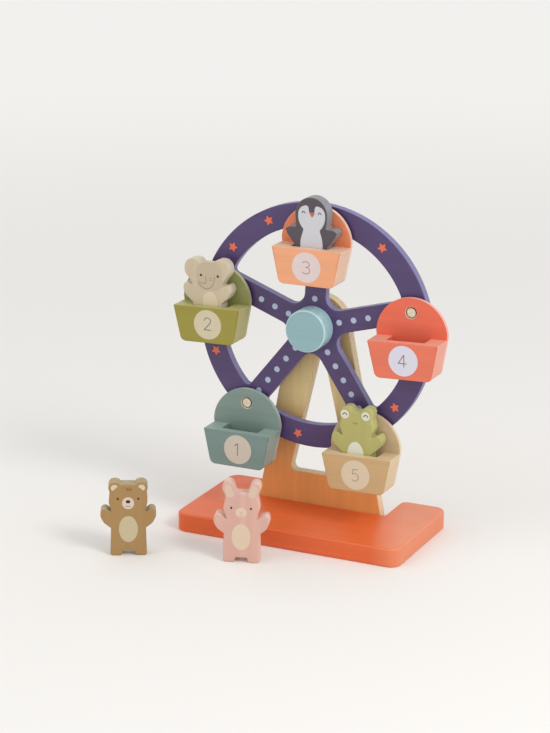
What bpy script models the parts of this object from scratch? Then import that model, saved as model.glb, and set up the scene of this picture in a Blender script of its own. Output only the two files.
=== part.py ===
"""Wooden ferris wheel play set: a wheel with five hanging buckets on a stand, and five flat figures.

The stand is a board with a notch in its back edge and a plywood upright that is screwed into the
notch. The wheel turns on a wooden axle through the upright. Each bucket is a round-topped panel with
a tub glued to it, and hangs from a peg in the wheel's rim, so that it stays level as the wheel turns.
Three figures ride in tubs, and two stand in front of the base.

Lengths are in metres. +Z is up, the front faces -Y, and the origin is the centre of the base's
underside. Outlines are drawn in the plane that a board lies in: x across and z up for an upright
board, x across and y back for a flat one.
"""
import math

import bmesh
import bpy
from mathutils import Matrix, Vector

# Fits
SEAT_GAP = 0.0003
MERGE_DISTANCE = 0.00001
CUT_OVERRUN = 0.004

# Base board
BASE_WIDTH = 0.194
BASE_DEPTH = 0.107
BASE_THICKNESS = 0.0155
BASE_CORNER_RADIUS = 0.0095
BASE_EDGE = 0.0018
NOTCH_DEPTH = 0.039
NOTCH_SIDE_CLEARANCE = 0.0037
NOTCH_INNER_RADIUS = 0.003
NOTCH_MOUTH_RADIUS = 0.006

# Upright
UPRIGHT_THICKNESS = 0.009
UPRIGHT_FOOT_WIDTH = 0.108
UPRIGHT_HEAD_RADIUS = 0.026
UPRIGHT_FLOOR_GAP = 0.0005
UPRIGHT_FOOT_CORNER = 0.001
UPRIGHT_EDGE = 0.0005
HUB_HEIGHT = 0.1696
WINDOW_SILL_ABOVE_BASE = 0.026
WINDOW_SILL_WIDTH = 0.0525
WINDOW_APEX_BELOW_HUB = 0.0153
WINDOW_CORNER_RADIUS = 0.0045
WINDOW_APEX_RADIUS = 0.0032

# Screws through the upright into the base
SCREW_SPACING = 0.072
SCREW_LENGTH = 0.022
SCREW_SHANK_RADIUS = 0.00175
SCREW_HEAD_RADIUS = 0.0037
SCREW_HEAD_DEPTH = 0.0022
SCREW_POINT_LENGTH = 0.003
SCREW_RECESS = 0.0003

# Wheel
WHEEL_RADIUS = 0.100
WHEEL_THICKNESS = 0.0082
WHEEL_EDGE = 0.0008
RIM_WIDTH = 0.019
SPOKE_COUNT = 5
SPOKE_WIDTH = 0.018
HUB_FILLET = 0.0102
RIM_FILLET = 0.0035
REST_TURN = math.radians(-2.7)

# Axle and what is on it
AXLE_RADIUS = 0.005
AXLE_CHAMFER = 0.0006
SPACER_RADIUS = 0.0135
SPACER_THICKNESS = 0.0068
KNOB_RADIUS = 0.0172
KNOB_HEIGHT = 0.0155
KNOB_EDGE = 0.0014
KNOB_BORE_DEPTH = 0.008
REAR_WASHER_RADIUS = 0.009
REAR_WASHER_THICKNESS = 0.001
REAR_CAP_RADIUS = 0.012
REAR_CAP_HEIGHT = 0.010
REAR_CAP_EDGE = 0.002
REAR_CAP_BORE_DEPTH = 0.007

# Pegs that the buckets hang from
PEG_INSET = 0.0116
PEG_SHANK_RADIUS = 0.0025
PEG_HEAD_RADIUS = 0.0040
PEG_HEAD_HEIGHT = 0.0012
PEG_HEAD_CHAMFER = 0.0004
PEG_RUNNING_GAP = 0.0004
PEG_WASHER_RADIUS = 0.0055
PEG_WASHER_THICKNESS = 0.0015

# How far each bucket leans to the left at rest
BUCKET_LEANS = {
    1: math.radians(0.2), 2: math.radians(1.6), 3: math.radians(0.3), 4: math.radians(2.2), 5: math.radians(1.3),
}

# Bucket panel
PANEL_THICKNESS = 0.004
PANEL_RADIUS = 0.0297
PANEL_CENTRE_DROP = 0.0179
PANEL_PROUD = 0.0002
PANEL_EDGE = 0.0006
PANEL_COUNTERBORE_RADIUS = 0.0047
PANEL_COUNTERBORE_DEPTH = 0.0027

# Bucket tub
TUB_DEPTH = 0.019
TUB_TOP_DROP = 0.0195
TUB_BOTTOM_DROP = 0.0487
TUB_TOP_WIDTH = 0.0586
TUB_BOTTOM_WIDTH = 0.0464
TUB_CORNER_RADIUS = 0.005
TUB_EDGE = 0.0007
TUB_FRONT_WALL = 0.0065
POCKET_WIDTH = 0.0316
POCKET_DEPTH = 0.0217
POCKET_CORNER_RADIUS = 0.0012

# Figures
FIGURE_HEIGHT = 0.061
FIGURE_ARM_SPAN = 0.0444
FIGURE_SIDE_CLEARANCE = 0.0015
SLIM_SIDE_CLEARANCE = 0.003
FIGURE_FACE_CLEARANCE = 0.0004
FIGURE_EDGE = 0.0009
FIGURE_FOOT_CORNER = 0.0018
FOOT_NOTCH_WIDTH = 0.0086
FOOT_NOTCH_HEIGHT = 0.0042
FOOT_NOTCH_SPLAY = 0.0013
FOOT_NOTCH_CORNER = 0.0006

# Where the figures are: the riders' sideways shifts in their tubs, and the places of the others
PENGUIN_SHIFT = 0.0011
ELEPHANT_SHIFT = -0.0026
FROG_SHIFT = -0.0026
BEAR_X = -0.1061
BEAR_Y = -0.1136
BEAR_TURN = math.radians(28)
RABBIT_X = -0.0193
RABBIT_Y = -0.0882
RABBIT_TURN = math.radians(17.5)

# How finely round shapes are divided
WHEEL_STEPS = 80
RIM_ARC_STEPS = 10
ROUND_STEPS = 32
SMALL_ROUND_STEPS = 16
HALF_DOME_STEPS = 10
FILLET_STEP = math.radians(30)
MIN_FILLET_STEPS = 2
EASED_RIM_STEPS = 3
STRAIGHT_ANGLE = math.radians(179.5)
SHARP_ANGLE = math.radians(34)

# Half outlines of the figures above the waist, from the arm's root up to the middle of the head.
# Each row is a corner: x as a share of half the arm span, z and the corner's radius as shares of the
# figure's height.
BEAR_SHARES = (
    (0.617, 0.372, 0.014), (0.875, 0.443, 0.130), (0.997, 0.535, 0.090), (0.955, 0.635, 0.050),
    (0.760, 0.632, 0.050), (0.582, 0.578, 0.010), (0.692, 0.722, 0.150), (0.648, 0.850, 0.020),
    (0.702, 0.915, 0.080), (0.656, 0.998, 0.075), (0.320, 0.992, 0.062), (0.262, 0.958, 0.018),
    (0.0, 0.961, 0.0),
)
RABBIT_SHARES = (
    (0.625, 0.385, 0.014), (0.875, 0.450, 0.130), (1.005, 0.545, 0.090), (0.945, 0.655, 0.048),
    (0.720, 0.630, 0.050), (0.485, 0.556, 0.010), (0.650, 0.715, 0.160), (0.560, 0.885, 0.050),
    (0.705, 0.998, 0.110), (0.618, 1.078, 0.066), (0.352, 1.080, 0.066), (0.216, 0.938, 0.020),
    (0.0, 0.930, 0.0),
)
PENGUIN_SHARES = (
    (0.622, 0.372, 0.050), (0.920, 0.503, 0.060), (0.995, 0.572, 0.014), (0.690, 0.600, 0.060),
    (0.535, 0.662, 0.060), (0.613, 0.740, 0.140), (0.613, 1.000, 0.222), (0.0, 1.000, 0.0),
)
ELEPHANT_SHARES = (
    (0.580, 0.380, 0.014), (0.850, 0.467, 0.130), (0.967, 0.552, 0.080), (0.890, 0.652, 0.040),
    (0.536, 0.602, 0.012), (0.689, 0.690, 0.060), (0.893, 0.780, 0.110), (0.862, 0.966, 0.120),
    (0.370, 0.966, 0.075), (0.262, 0.912, 0.030), (0.0, 0.911, 0.0),
)
FROG_SHARES = (
    (0.566, 0.352, 0.014), (0.860, 0.452, 0.130), (0.975, 0.536, 0.080), (0.885, 0.640, 0.044),
    (0.515, 0.572, 0.012), (0.650, 0.700, 0.120), (0.572, 0.820, 0.050), (0.612, 0.900, 0.050),
    (0.575, 0.972, 0.070), (0.225, 0.968, 0.066), (0.160, 0.912, 0.030), (0.0, 0.910, 0.0),
)

# Places worked out from the sizes above
NOTCH_WALL_Y = BASE_DEPTH / 2 - NOTCH_DEPTH
NOTCH_WIDTH = UPRIGHT_FOOT_WIDTH + 2 * NOTCH_SIDE_CLEARANCE
UPRIGHT_FRONT_Y = NOTCH_WALL_Y + SEAT_GAP
UPRIGHT_BACK_Y = UPRIGHT_FRONT_Y + UPRIGHT_THICKNESS
SPACER_FRONT_Y = UPRIGHT_FRONT_Y - SEAT_GAP - SPACER_THICKNESS
WHEEL_BACK_Y = SPACER_FRONT_Y - SEAT_GAP
WHEEL_FRONT_Y = WHEEL_BACK_Y - WHEEL_THICKNESS
KNOB_BACK_Y = WHEEL_FRONT_Y - SEAT_GAP
REAR_WASHER_FRONT_Y = UPRIGHT_BACK_Y + SEAT_GAP
REAR_CAP_FRONT_Y = REAR_WASHER_FRONT_Y + REAR_WASHER_THICKNESS + SEAT_GAP
AXLE_FRONT_Y = KNOB_BACK_Y - KNOB_BORE_DEPTH + SEAT_GAP
AXLE_BACK_Y = REAR_CAP_FRONT_Y + REAR_CAP_BORE_DEPTH - SEAT_GAP
PANEL_BACK_Y = WHEEL_FRONT_Y - 2 * SEAT_GAP - PEG_WASHER_THICKNESS
PANEL_FRONT_Y = PANEL_BACK_Y - PANEL_THICKNESS
TUB_BACK_Y = PANEL_FRONT_Y - SEAT_GAP
TUB_FRONT_Y = TUB_BACK_Y - TUB_DEPTH
POCKET_FRONT_Y = TUB_FRONT_Y + TUB_FRONT_WALL
AXLE_BORE_RADIUS = AXLE_RADIUS + SEAT_GAP
PEG_BORE_RADIUS = PEG_SHANK_RADIUS + SEAT_GAP
PANEL_BORE_RADIUS = PEG_SHANK_RADIUS + PEG_RUNNING_GAP
FIGURE_THICKNESS = PANEL_FRONT_Y - POCKET_FRONT_Y - 2 * FIGURE_FACE_CLEARANCE
SPOKE_STEP = 2 * math.pi / SPOKE_COUNT
PEG_CIRCLE_RADIUS = WHEEL_RADIUS - PEG_INSET

# Colours as (red, green, blue), then roughness and metallic
ORANGE_PAINT = ("orange_paint", (0.80, 0.19, 0.07), 0.45, 0.0)
PLYWOOD = ("plywood", (0.60, 0.42, 0.22), 0.6, 0.0)
INDIGO_PAINT = ("indigo_paint", (0.09, 0.06, 0.16), 0.45, 0.0)
TEAL_PAINT = ("teal_paint", (0.28, 0.47, 0.47), 0.4, 0.0)
DOWEL = ("dowel_wood", (0.66, 0.50, 0.30), 0.6, 0.0)
NYLON = ("nylon", (0.80, 0.78, 0.72), 0.5, 0.0)
STEEL = ("screw_steel", (0.60, 0.60, 0.60), 0.35, 1.0)
BUCKET_PAINTS = {
    1: ("sage_paint", (0.22, 0.31, 0.27), 0.45, 0.0),
    2: ("olive_paint", (0.36, 0.33, 0.09), 0.45, 0.0),
    3: ("peach_paint", (0.83, 0.42, 0.23), 0.45, 0.0),
    4: ("coral_paint", (0.80, 0.16, 0.10), 0.45, 0.0),
    5: ("tan_paint", (0.62, 0.40, 0.20), 0.5, 0.0),
}
BEAR_BROWN = ("bear_brown", (0.40, 0.25, 0.12), 0.5, 0.0)
RABBIT_PINK = ("rabbit_pink", (0.72, 0.44, 0.34), 0.5, 0.0)
PENGUIN_GREY = ("penguin_grey", (0.10, 0.08, 0.09), 0.5, 0.0)
ELEPHANT_GREY = ("elephant_grey", (0.56, 0.47, 0.35), 0.5, 0.0)
FROG_GREEN = ("frog_green", (0.44, 0.43, 0.15), 0.5, 0.0)

STANDING = (math.radians(90), 0, 0)
STANDING_BACKWARDS = (math.radians(-90), 0, 0)
FLAT = (0, 0, 0)


def start_scene():
    """Empty the scene and make one collection for the pieces and one for the cutters."""
    for leftover in list(bpy.data.objects):
        bpy.data.objects.remove(leftover, do_unlink=True)
    pieces = bpy.data.collections.new("ferris_wheel_toy")
    cutters = bpy.data.collections.new("cutters")
    for collection in (pieces, cutters):
        bpy.context.scene.collection.children.link(collection)
    return pieces, cutters


PIECES, CUTTERS = start_scene()


def material_for(finish):
    """Return the material of a finish, made once."""
    name, colour, roughness, metallic = finish
    material = bpy.data.materials.get(name)
    if material is None:
        material = bpy.data.materials.new(name)
        material.use_nodes = True
        shader = material.node_tree.nodes["Principled BSDF"]
        shader.inputs["Base Color"].default_value = (*colour, 1.0)
        shader.inputs["Roughness"].default_value = roughness
        shader.inputs["Metallic"].default_value = metallic
    return material


def pivot(name, location):
    """Add an empty on a joint's axis, for the pieces that turn or lift there."""
    empty = bpy.data.objects.new(name, None)
    empty.location = location
    PIECES.objects.link(empty)
    return empty


def place(piece, finish, parent=None):
    """Give a piece its finish and its parent, whose place its own location is measured from."""
    piece.data.materials.append(material_for(finish))
    piece.parent = parent
    return piece


def as_cutter(piece):
    """Turn an object into a cutter, which isn't part of the toy."""
    PIECES.objects.unlink(piece)
    CUTTERS.objects.link(piece)
    piece.hide_render = True
    piece.display_type = "WIRE"
    return piece


def cut(piece, *cutters):
    """Take the cutters' shapes out of a piece."""
    for cutter in cutters:
        boolean = piece.modifiers.new("cut_" + cutter.name, "BOOLEAN")
        boolean.operation = "DIFFERENCE"
        boolean.solver = "EXACT"
        boolean.object = cutter


def arc(centre_x, centre_y, radius, start, end, steps):
    """Corners without rounding along an arc, both ends included."""
    angles = [start + (end - start) * i / steps for i in range(steps + 1)]
    return [(centre_x + radius * math.cos(a), centre_y + radius * math.sin(a), 0.0) for a in angles]


def circle(centre_x, centre_y, radius, steps):
    """A closed round outline."""
    return [corner[:2] for corner in arc(centre_x, centre_y, radius, 0, 2 * math.pi, steps)[:-1]]


def fillet(corner, to_last, to_next, tangent):
    """Points of the arc that rounds a corner, starting a tangent's length before it."""
    opening = to_last.angle(to_next)
    bisector = (to_last.normalized() + to_next.normalized()).normalized()
    centre = corner + bisector * (tangent / math.cos(opening / 2))
    first = corner + to_last.normalized() * tangent - centre
    sweep = math.pi - opening
    turn = math.copysign(sweep, to_last.y * to_next.x - to_last.x * to_next.y)
    steps = max(MIN_FILLET_STEPS, math.ceil(sweep / FILLET_STEP))
    turns = [Matrix.Rotation(turn * k / steps, 2) for k in range(steps + 1)]
    return [centre + rotation @ first for rotation in turns]


def rounded(corners):
    """Turn corners, each (x, y, radius), into the points of a closed outline with rounded corners.

    Where two fillets don't fit between their corners, both shrink alike. Corners on a straight line
    are left out.
    """
    count = len(corners)
    places = [Vector(corner[:2]) for corner in corners]
    to_last = [places[i - 1] - places[i] for i in range(count)]
    to_next = [places[(i + 1) % count] - places[i] for i in range(count)]
    openings = [before.angle(after) for before, after in zip(to_last, to_next)]
    tangents = [corner[2] / math.tan(opening / 2) for corner, opening in zip(corners, openings)]
    points = []
    for i, (place_here, tangent) in enumerate(zip(places, tangents)):
        if openings[i] > STRAIGHT_ANGLE:
            continue
        if tangent == 0.0:
            points.append(place_here)
            continue
        last_share = to_last[i].length / (tangent + tangents[i - 1])
        next_share = to_next[i].length / (tangent + tangents[(i + 1) % count])
        fitted = tangent * min(1, last_share, next_share)
        points += fillet(place_here, to_last[i], to_next[i], fitted)
    return [(point.x, point.y) for point in points]


def mirrored(half):
    """Close a half outline, drawn from the foot of the middle line to its top, with its mirror image."""
    other_side = [(-x, y, radius) for x, y, radius in reversed(half) if x > 0]
    return half + other_side


def solid(drawing, name):
    """Turn a drawing, a curve or an object with modifiers, into a closed mesh with smooth round faces."""
    PIECES.objects.link(drawing)
    bpy.context.view_layer.update()
    evaluated = drawing.evaluated_get(bpy.context.evaluated_depsgraph_get())
    mesh = bpy.data.meshes.new_from_object(evaluated)
    shape = bmesh.new()
    shape.from_mesh(mesh)
    bmesh.ops.remove_doubles(shape, verts=shape.verts, dist=MERGE_DISTANCE)
    bmesh.ops.recalc_face_normals(shape, faces=shape.faces)
    shape.to_mesh(mesh)
    shape.free()
    mesh.name = name
    mesh.shade_smooth()
    mesh.set_sharp_from_angle(angle=SHARP_ANGLE)
    piece = bpy.data.objects.new(name, mesh)
    piece.matrix_world = drawing.matrix_world
    PIECES.objects.link(piece)
    bpy.data.objects.remove(drawing)
    return piece


def board(name, outline, holes, thickness, edge, location, turned=STANDING):
    """Saw a board to an outline, with eased edges. Its location is the middle of its thickness."""
    curve = bpy.data.curves.new(name, "CURVE")
    curve.dimensions = "2D"
    curve.fill_mode = "BOTH"
    curve.extrude = thickness / 2 - edge
    curve.bevel_depth = edge
    curve.bevel_resolution = 0
    curve.offset = -edge
    for loop in [outline] + [list(reversed(hole)) for hole in holes]:
        spline = curve.splines.new("POLY")
        spline.points.add(len(loop) - 1)
        for point, (x, y) in zip(spline.points, loop):
            point.co = (x, y, 0.0, 1.0)
        spline.use_cyclic_u = True
    drawing = bpy.data.objects.new(name + "_drawing", curve)
    drawing.location = location
    drawing.rotation_euler = turned
    return solid(drawing, name)


def turned_piece(name, profile, steps, location, is_ring=False, turned=STANDING):
    """Turn a profile of (radius, height) points on a lathe. Height points to the front."""
    edges = [(i, i + 1) for i in range(len(profile) - 1)]
    if is_ring:
        edges.append((len(profile) - 1, 0))
    mesh = bpy.data.meshes.new(name + "_profile")
    mesh.from_pydata([(radius, 0.0, height) for radius, height in profile], edges, [])
    drawing = bpy.data.objects.new(name + "_profile", mesh)
    drawing.location = location
    drawing.rotation_euler = turned
    lathe = drawing.modifiers.new("lathe", "SCREW")
    lathe.steps = steps
    lathe.render_steps = steps
    lathe.use_merge_vertices = True
    lathe.merge_threshold = MERGE_DISTANCE
    return solid(drawing, name)


def ring(name, inner_radius, outer_radius, thickness, steps, location):
    """A flat ring whose back face lies at its location."""
    profile = [(inner_radius, thickness), (outer_radius, thickness), (outer_radius, 0.0), (inner_radius, 0.0)]
    return turned_piece(name, profile, steps, location, is_ring=True)


def drill(name, radius, start_y, end_y, x, z):
    """A round cutter that lies along Y between two places."""
    mesh = bpy.data.meshes.new(name)
    shape = bmesh.new()
    bmesh.ops.create_cone(shape, cap_ends=True, segments=SMALL_ROUND_STEPS, radius1=radius, radius2=radius,
                          depth=end_y - start_y)
    shape.to_mesh(mesh)
    shape.free()
    bit = bpy.data.objects.new(name, mesh)
    bit.location = (x, (start_y + end_y) / 2, z)
    bit.rotation_euler = STANDING
    PIECES.objects.link(bit)
    return as_cutter(bit)


def spoke_angle(number):
    """The direction of a spoke from the hub. Spokes and buckets are numbered by their bucket."""
    quarter_turn = math.pi / 2
    steps_from_top = {3: 0, 2: 1, 1: 2, 5: 3, 4: 4}[number]
    return quarter_turn + REST_TURN + steps_from_top * SPOKE_STEP


def peg_place(number):
    """The place of a bucket's peg, from the hub: x and z."""
    angle = spoke_angle(number)
    return PEG_CIRCLE_RADIUS * math.cos(angle), PEG_CIRCLE_RADIUS * math.sin(angle)


def base_board():
    """The base: a board with rounded corners and a notch in the middle of its back edge."""
    half = [
        (0.0, -BASE_DEPTH / 2, 0.0),
        (BASE_WIDTH / 2, -BASE_DEPTH / 2, BASE_CORNER_RADIUS),
        (BASE_WIDTH / 2, BASE_DEPTH / 2, BASE_CORNER_RADIUS),
        (NOTCH_WIDTH / 2, BASE_DEPTH / 2, NOTCH_MOUTH_RADIUS),
        (NOTCH_WIDTH / 2, NOTCH_WALL_Y, NOTCH_INNER_RADIUS),
        (0.0, NOTCH_WALL_Y, 0.0),
    ]
    location = (0, 0, BASE_THICKNESS / 2)
    base = board("base_board", rounded(mirrored(half)), [], BASE_THICKNESS, BASE_EDGE, location, FLAT)
    for side in (-1, 1):
        x, _, z = screw_place(side)
        tip_y = UPRIGHT_BACK_Y - SCREW_LENGTH
        cut(base, drill("pilot_hole", SCREW_SHANK_RADIUS + SEAT_GAP, tip_y, NOTCH_WALL_Y + CUT_OVERRUN, x, z))
    return place(base, ORANGE_PAINT)


def upright_outline():
    """The upright: a foot that stands in the notch, and sides that run up to a round head."""
    foot_half = UPRIGHT_FOOT_WIDTH / 2
    rise = HUB_HEIGHT - BASE_THICKNESS
    reach = math.hypot(foot_half, rise)
    lean = math.atan2(foot_half, rise) - math.asin(UPRIGHT_HEAD_RADIUS / reach)
    half = [
        (0.0, UPRIGHT_FLOOR_GAP - HUB_HEIGHT, 0.0),
        (foot_half, UPRIGHT_FLOOR_GAP - HUB_HEIGHT, UPRIGHT_FOOT_CORNER),
        (foot_half, BASE_THICKNESS - HUB_HEIGHT, 0.0),
    ]
    half += arc(0.0, 0.0, UPRIGHT_HEAD_RADIUS, lean, math.pi / 2, HALF_DOME_STEPS)
    half[-1] = (0.0, UPRIGHT_HEAD_RADIUS, 0.0)
    return rounded(mirrored(half))


def window_outline():
    """The tall three-cornered window below the hub."""
    sill = BASE_THICKNESS + WINDOW_SILL_ABOVE_BASE - HUB_HEIGHT
    corners = [
        (-WINDOW_SILL_WIDTH / 2, sill, WINDOW_CORNER_RADIUS),
        (WINDOW_SILL_WIDTH / 2, sill, WINDOW_CORNER_RADIUS),
        (0.0, -WINDOW_APEX_BELOW_HUB, WINDOW_APEX_RADIUS),
    ]
    return rounded(corners)


def upright():
    """The plywood panel that carries the axle, screwed into the notch from behind."""
    bore = circle(0, 0, AXLE_BORE_RADIUS, SMALL_ROUND_STEPS)
    location = (0, UPRIGHT_FRONT_Y + UPRIGHT_THICKNESS / 2, HUB_HEIGHT)
    holes = [window_outline(), bore]
    panel = board("upright", upright_outline(), holes, UPRIGHT_THICKNESS, UPRIGHT_EDGE, location)
    for side in (-1, 1):
        profile = screw_profile(SEAT_GAP, UPRIGHT_THICKNESS + CUT_OVERRUN, CUT_OVERRUN)
        hole = turned_piece("screw_hole", profile, SMALL_ROUND_STEPS, screw_place(side))
        cut(panel, as_cutter(hole))
    return place(panel, PLYWOOD)


def screw_profile(gap, length, overrun=0.0):
    """Half section of a blunt countersunk screw, from its tip to its head, with a gap all round."""
    shank = SCREW_SHANK_RADIUS + gap
    head = SCREW_HEAD_RADIUS + gap
    section = [(0.0, length), (shank, length), (shank, SCREW_HEAD_DEPTH), (head, 0.0)]
    if overrun > 0:
        section.append((head, -overrun))
    return section + [(0.0, -overrun)]


def screw_place(side):
    """The middle of a screw's head, just below the upright's back face."""
    return side * SCREW_SPACING / 2, UPRIGHT_BACK_Y - SCREW_RECESS, BASE_THICKNESS / 2


def upright_screws():
    """The two countersunk screws, left and right."""
    length = SCREW_LENGTH - SCREW_RECESS - SEAT_GAP
    section = screw_profile(0.0, length)
    section[1] = (SCREW_SHANK_RADIUS, length - SCREW_POINT_LENGTH)
    for side, name in ((-1, "upright_screw_left"), (1, "upright_screw_right")):
        place(turned_piece(name, section, SMALL_ROUND_STEPS, screw_place(side)), STEEL)


def wheel_window(angle):
    """One opening of the wheel, between the spoke at an angle and the next one."""
    half_spoke = SPOKE_WIDTH / 2
    rim = WHEEL_RADIUS - RIM_WIDTH
    middle = angle + SPOKE_STEP / 2
    hub_distance = half_spoke / math.sin(SPOKE_STEP / 2)
    reach = math.asin(half_spoke / rim)
    start, end = angle + reach, angle + SPOKE_STEP - reach
    margin = 2 * RIM_FILLET / rim
    corners = [(hub_distance * math.cos(middle), hub_distance * math.sin(middle), HUB_FILLET)]
    corners.append((rim * math.cos(start), rim * math.sin(start), RIM_FILLET))
    corners += arc(0.0, 0.0, rim, start + margin, end - margin, RIM_ARC_STEPS)
    corners.append((rim * math.cos(end), rim * math.sin(end), RIM_FILLET))
    return rounded(corners)


def wheel(hub):
    """The wheel: rim and spokes sawn from one board, bored for the axle and the pegs."""
    holes = [wheel_window(spoke_angle(number)) for number in BUCKET_PAINTS]
    holes.append(circle(0, 0, AXLE_BORE_RADIUS, SMALL_ROUND_STEPS))
    holes += [circle(*peg_place(number), PEG_BORE_RADIUS, SMALL_ROUND_STEPS) for number in BUCKET_PAINTS]
    rim = circle(0, 0, WHEEL_RADIUS, WHEEL_STEPS)
    location = (0, WHEEL_FRONT_Y + WHEEL_THICKNESS / 2, 0)
    return place(board("wheel", rim, holes, WHEEL_THICKNESS, WHEEL_EDGE, location), INDIGO_PAINT, hub)


def rounded_rim(radius, top, edge):
    """The eased front edge of a turned disc, from its face to its side."""
    return [corner[:2] for corner in arc(radius - edge, top - edge, edge, math.pi / 2, 0, EASED_RIM_STEPS)]


def hub_pieces(hub):
    """Knob, axle, spacer, washer and rear cap, all on the wheel's axis."""
    axle_length = AXLE_BACK_Y - AXLE_FRONT_Y
    shoulder = AXLE_RADIUS - AXLE_CHAMFER
    axle = [
        (0.0, axle_length), (shoulder, axle_length), (AXLE_RADIUS, axle_length - AXLE_CHAMFER),
        (AXLE_RADIUS, AXLE_CHAMFER), (shoulder, 0.0), (0.0, 0.0),
    ]
    place(turned_piece("axle", axle, SMALL_ROUND_STEPS, (0, AXLE_BACK_Y, 0)), DOWEL, hub)
    knob = [(0.0, KNOB_HEIGHT)] + rounded_rim(KNOB_RADIUS, KNOB_HEIGHT, KNOB_EDGE)
    knob += [
        (KNOB_RADIUS, SEAT_GAP), (KNOB_RADIUS - SEAT_GAP, 0.0), (AXLE_BORE_RADIUS, 0.0),
        (AXLE_BORE_RADIUS, KNOB_BORE_DEPTH), (0.0, KNOB_BORE_DEPTH),
    ]
    place(turned_piece("hub_knob", knob, ROUND_STEPS, (0, KNOB_BACK_Y, 0)), TEAL_PAINT, hub)
    spacer_place = (0, SPACER_FRONT_Y + SPACER_THICKNESS, 0)
    spacer = ring("hub_spacer", AXLE_BORE_RADIUS, SPACER_RADIUS, SPACER_THICKNESS, ROUND_STEPS, spacer_place)
    place(spacer, DOWEL, hub)
    washer_place = (0, REAR_WASHER_FRONT_Y + REAR_WASHER_THICKNESS, 0)
    washer = ring("rear_washer", AXLE_BORE_RADIUS, REAR_WASHER_RADIUS, REAR_WASHER_THICKNESS,
                  SMALL_ROUND_STEPS, washer_place)
    place(washer, NYLON, hub)
    cap = [(0.0, REAR_CAP_HEIGHT)] + rounded_rim(REAR_CAP_RADIUS, REAR_CAP_HEIGHT, REAR_CAP_EDGE)
    cap += [
        (REAR_CAP_RADIUS, 0.0), (AXLE_BORE_RADIUS, 0.0),
        (AXLE_BORE_RADIUS, REAR_CAP_BORE_DEPTH), (0.0, REAR_CAP_BORE_DEPTH),
    ]
    cap_place = (0, REAR_CAP_FRONT_Y, 0)
    rear_cap = turned_piece("rear_cap", cap, ROUND_STEPS, cap_place, turned=STANDING_BACKWARDS)
    place(rear_cap, DOWEL, hub)


def peg(number, hub):
    """A peg glued into the rim, whose head keeps the bucket on, and the washer behind the bucket."""
    x, z = peg_place(number)
    head_seat = PANEL_THICKNESS - PANEL_COUNTERBORE_DEPTH + SEAT_GAP
    shank_start = WHEEL_BACK_Y - SEAT_GAP
    to_head = shank_start - PANEL_BACK_Y + head_seat
    top = to_head + PEG_HEAD_HEIGHT
    profile = [
        (0.0, top), (PEG_HEAD_RADIUS - PEG_HEAD_CHAMFER, top), (PEG_HEAD_RADIUS, top - PEG_HEAD_CHAMFER),
        (PEG_HEAD_RADIUS, to_head), (PEG_SHANK_RADIUS, to_head), (PEG_SHANK_RADIUS, 0.0), (0.0, 0.0),
    ]
    place(turned_piece(f"pivot_peg_{number}", profile, SMALL_ROUND_STEPS, (x, shank_start, z)), DOWEL, hub)
    washer = ring(f"pivot_washer_{number}", PANEL_BORE_RADIUS, PEG_WASHER_RADIUS, PEG_WASHER_THICKNESS,
                  SMALL_ROUND_STEPS, (x, WHEEL_FRONT_Y - SEAT_GAP, z))
    place(washer, NYLON, hub)


def panel_outline():
    """The bucket's back: a round top whose sides run straight down to the tub's lower corners."""
    corner_x = TUB_BOTTOM_WIDTH / 2 + PANEL_PROUD
    depth = TUB_BOTTOM_DROP - PANEL_CENTRE_DROP
    reach = math.hypot(corner_x, depth)
    lean = math.asin(PANEL_RADIUS / reach) - math.atan2(corner_x, depth)
    half = [(0.0, -TUB_BOTTOM_DROP, 0.0), (corner_x, -TUB_BOTTOM_DROP, TUB_CORNER_RADIUS + PANEL_PROUD)]
    half += arc(0.0, -PANEL_CENTRE_DROP, PANEL_RADIUS, -lean, math.pi / 2, HALF_DOME_STEPS)
    half[-1] = (0.0, PANEL_RADIUS - PANEL_CENTRE_DROP, 0.0)
    return rounded(mirrored(half))


def bucket(number, hanger):
    """A bucket: the panel that hangs on the peg and the tub glued to its front."""
    finish = BUCKET_PAINTS[number]
    bore = circle(0, 0, PANEL_BORE_RADIUS, SMALL_ROUND_STEPS)
    panel_place = (0, PANEL_FRONT_Y + PANEL_THICKNESS / 2, 0)
    panel = board(f"bucket_panel_{number}", panel_outline(), [bore], PANEL_THICKNESS, PANEL_EDGE, panel_place)
    recess_floor_y = PANEL_FRONT_Y + PANEL_COUNTERBORE_DEPTH
    recess = drill(f"counterbore_{number}", PANEL_COUNTERBORE_RADIUS, PANEL_FRONT_Y - CUT_OVERRUN,
                   recess_floor_y, 0, 0)
    recess.parent = hanger
    cut(panel, recess)
    place(panel, finish, hanger)

    half = [
        (0.0, -TUB_BOTTOM_DROP, 0.0), (TUB_BOTTOM_WIDTH / 2, -TUB_BOTTOM_DROP, TUB_CORNER_RADIUS),
        (TUB_TOP_WIDTH / 2, -TUB_TOP_DROP, 0.0), (0.0, -TUB_TOP_DROP, 0.0),
    ]
    tub_place = (0, TUB_BACK_Y - TUB_DEPTH / 2, 0)
    tub = board(f"bucket_tub_{number}", rounded(mirrored(half)), [], TUB_DEPTH, TUB_EDGE, tub_place)
    half_opening = [
        (0.0, POCKET_FRONT_Y, 0.0), (POCKET_WIDTH / 2, POCKET_FRONT_Y, POCKET_CORNER_RADIUS),
        (POCKET_WIDTH / 2, TUB_BACK_Y + CUT_OVERRUN, 0.0), (0.0, TUB_BACK_Y + CUT_OVERRUN, 0.0),
    ]
    opening = rounded(mirrored(half_opening))
    height = POCKET_DEPTH + CUT_OVERRUN
    middle = -TUB_TOP_DROP - POCKET_DEPTH + height / 2
    pocket = board(f"pocket_{number}", opening, [], height, 0.0, (0, 0, middle), FLAT)
    pocket.parent = hanger
    cut(tub, as_cutter(pocket))
    place(tub, finish, hanger)


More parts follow.
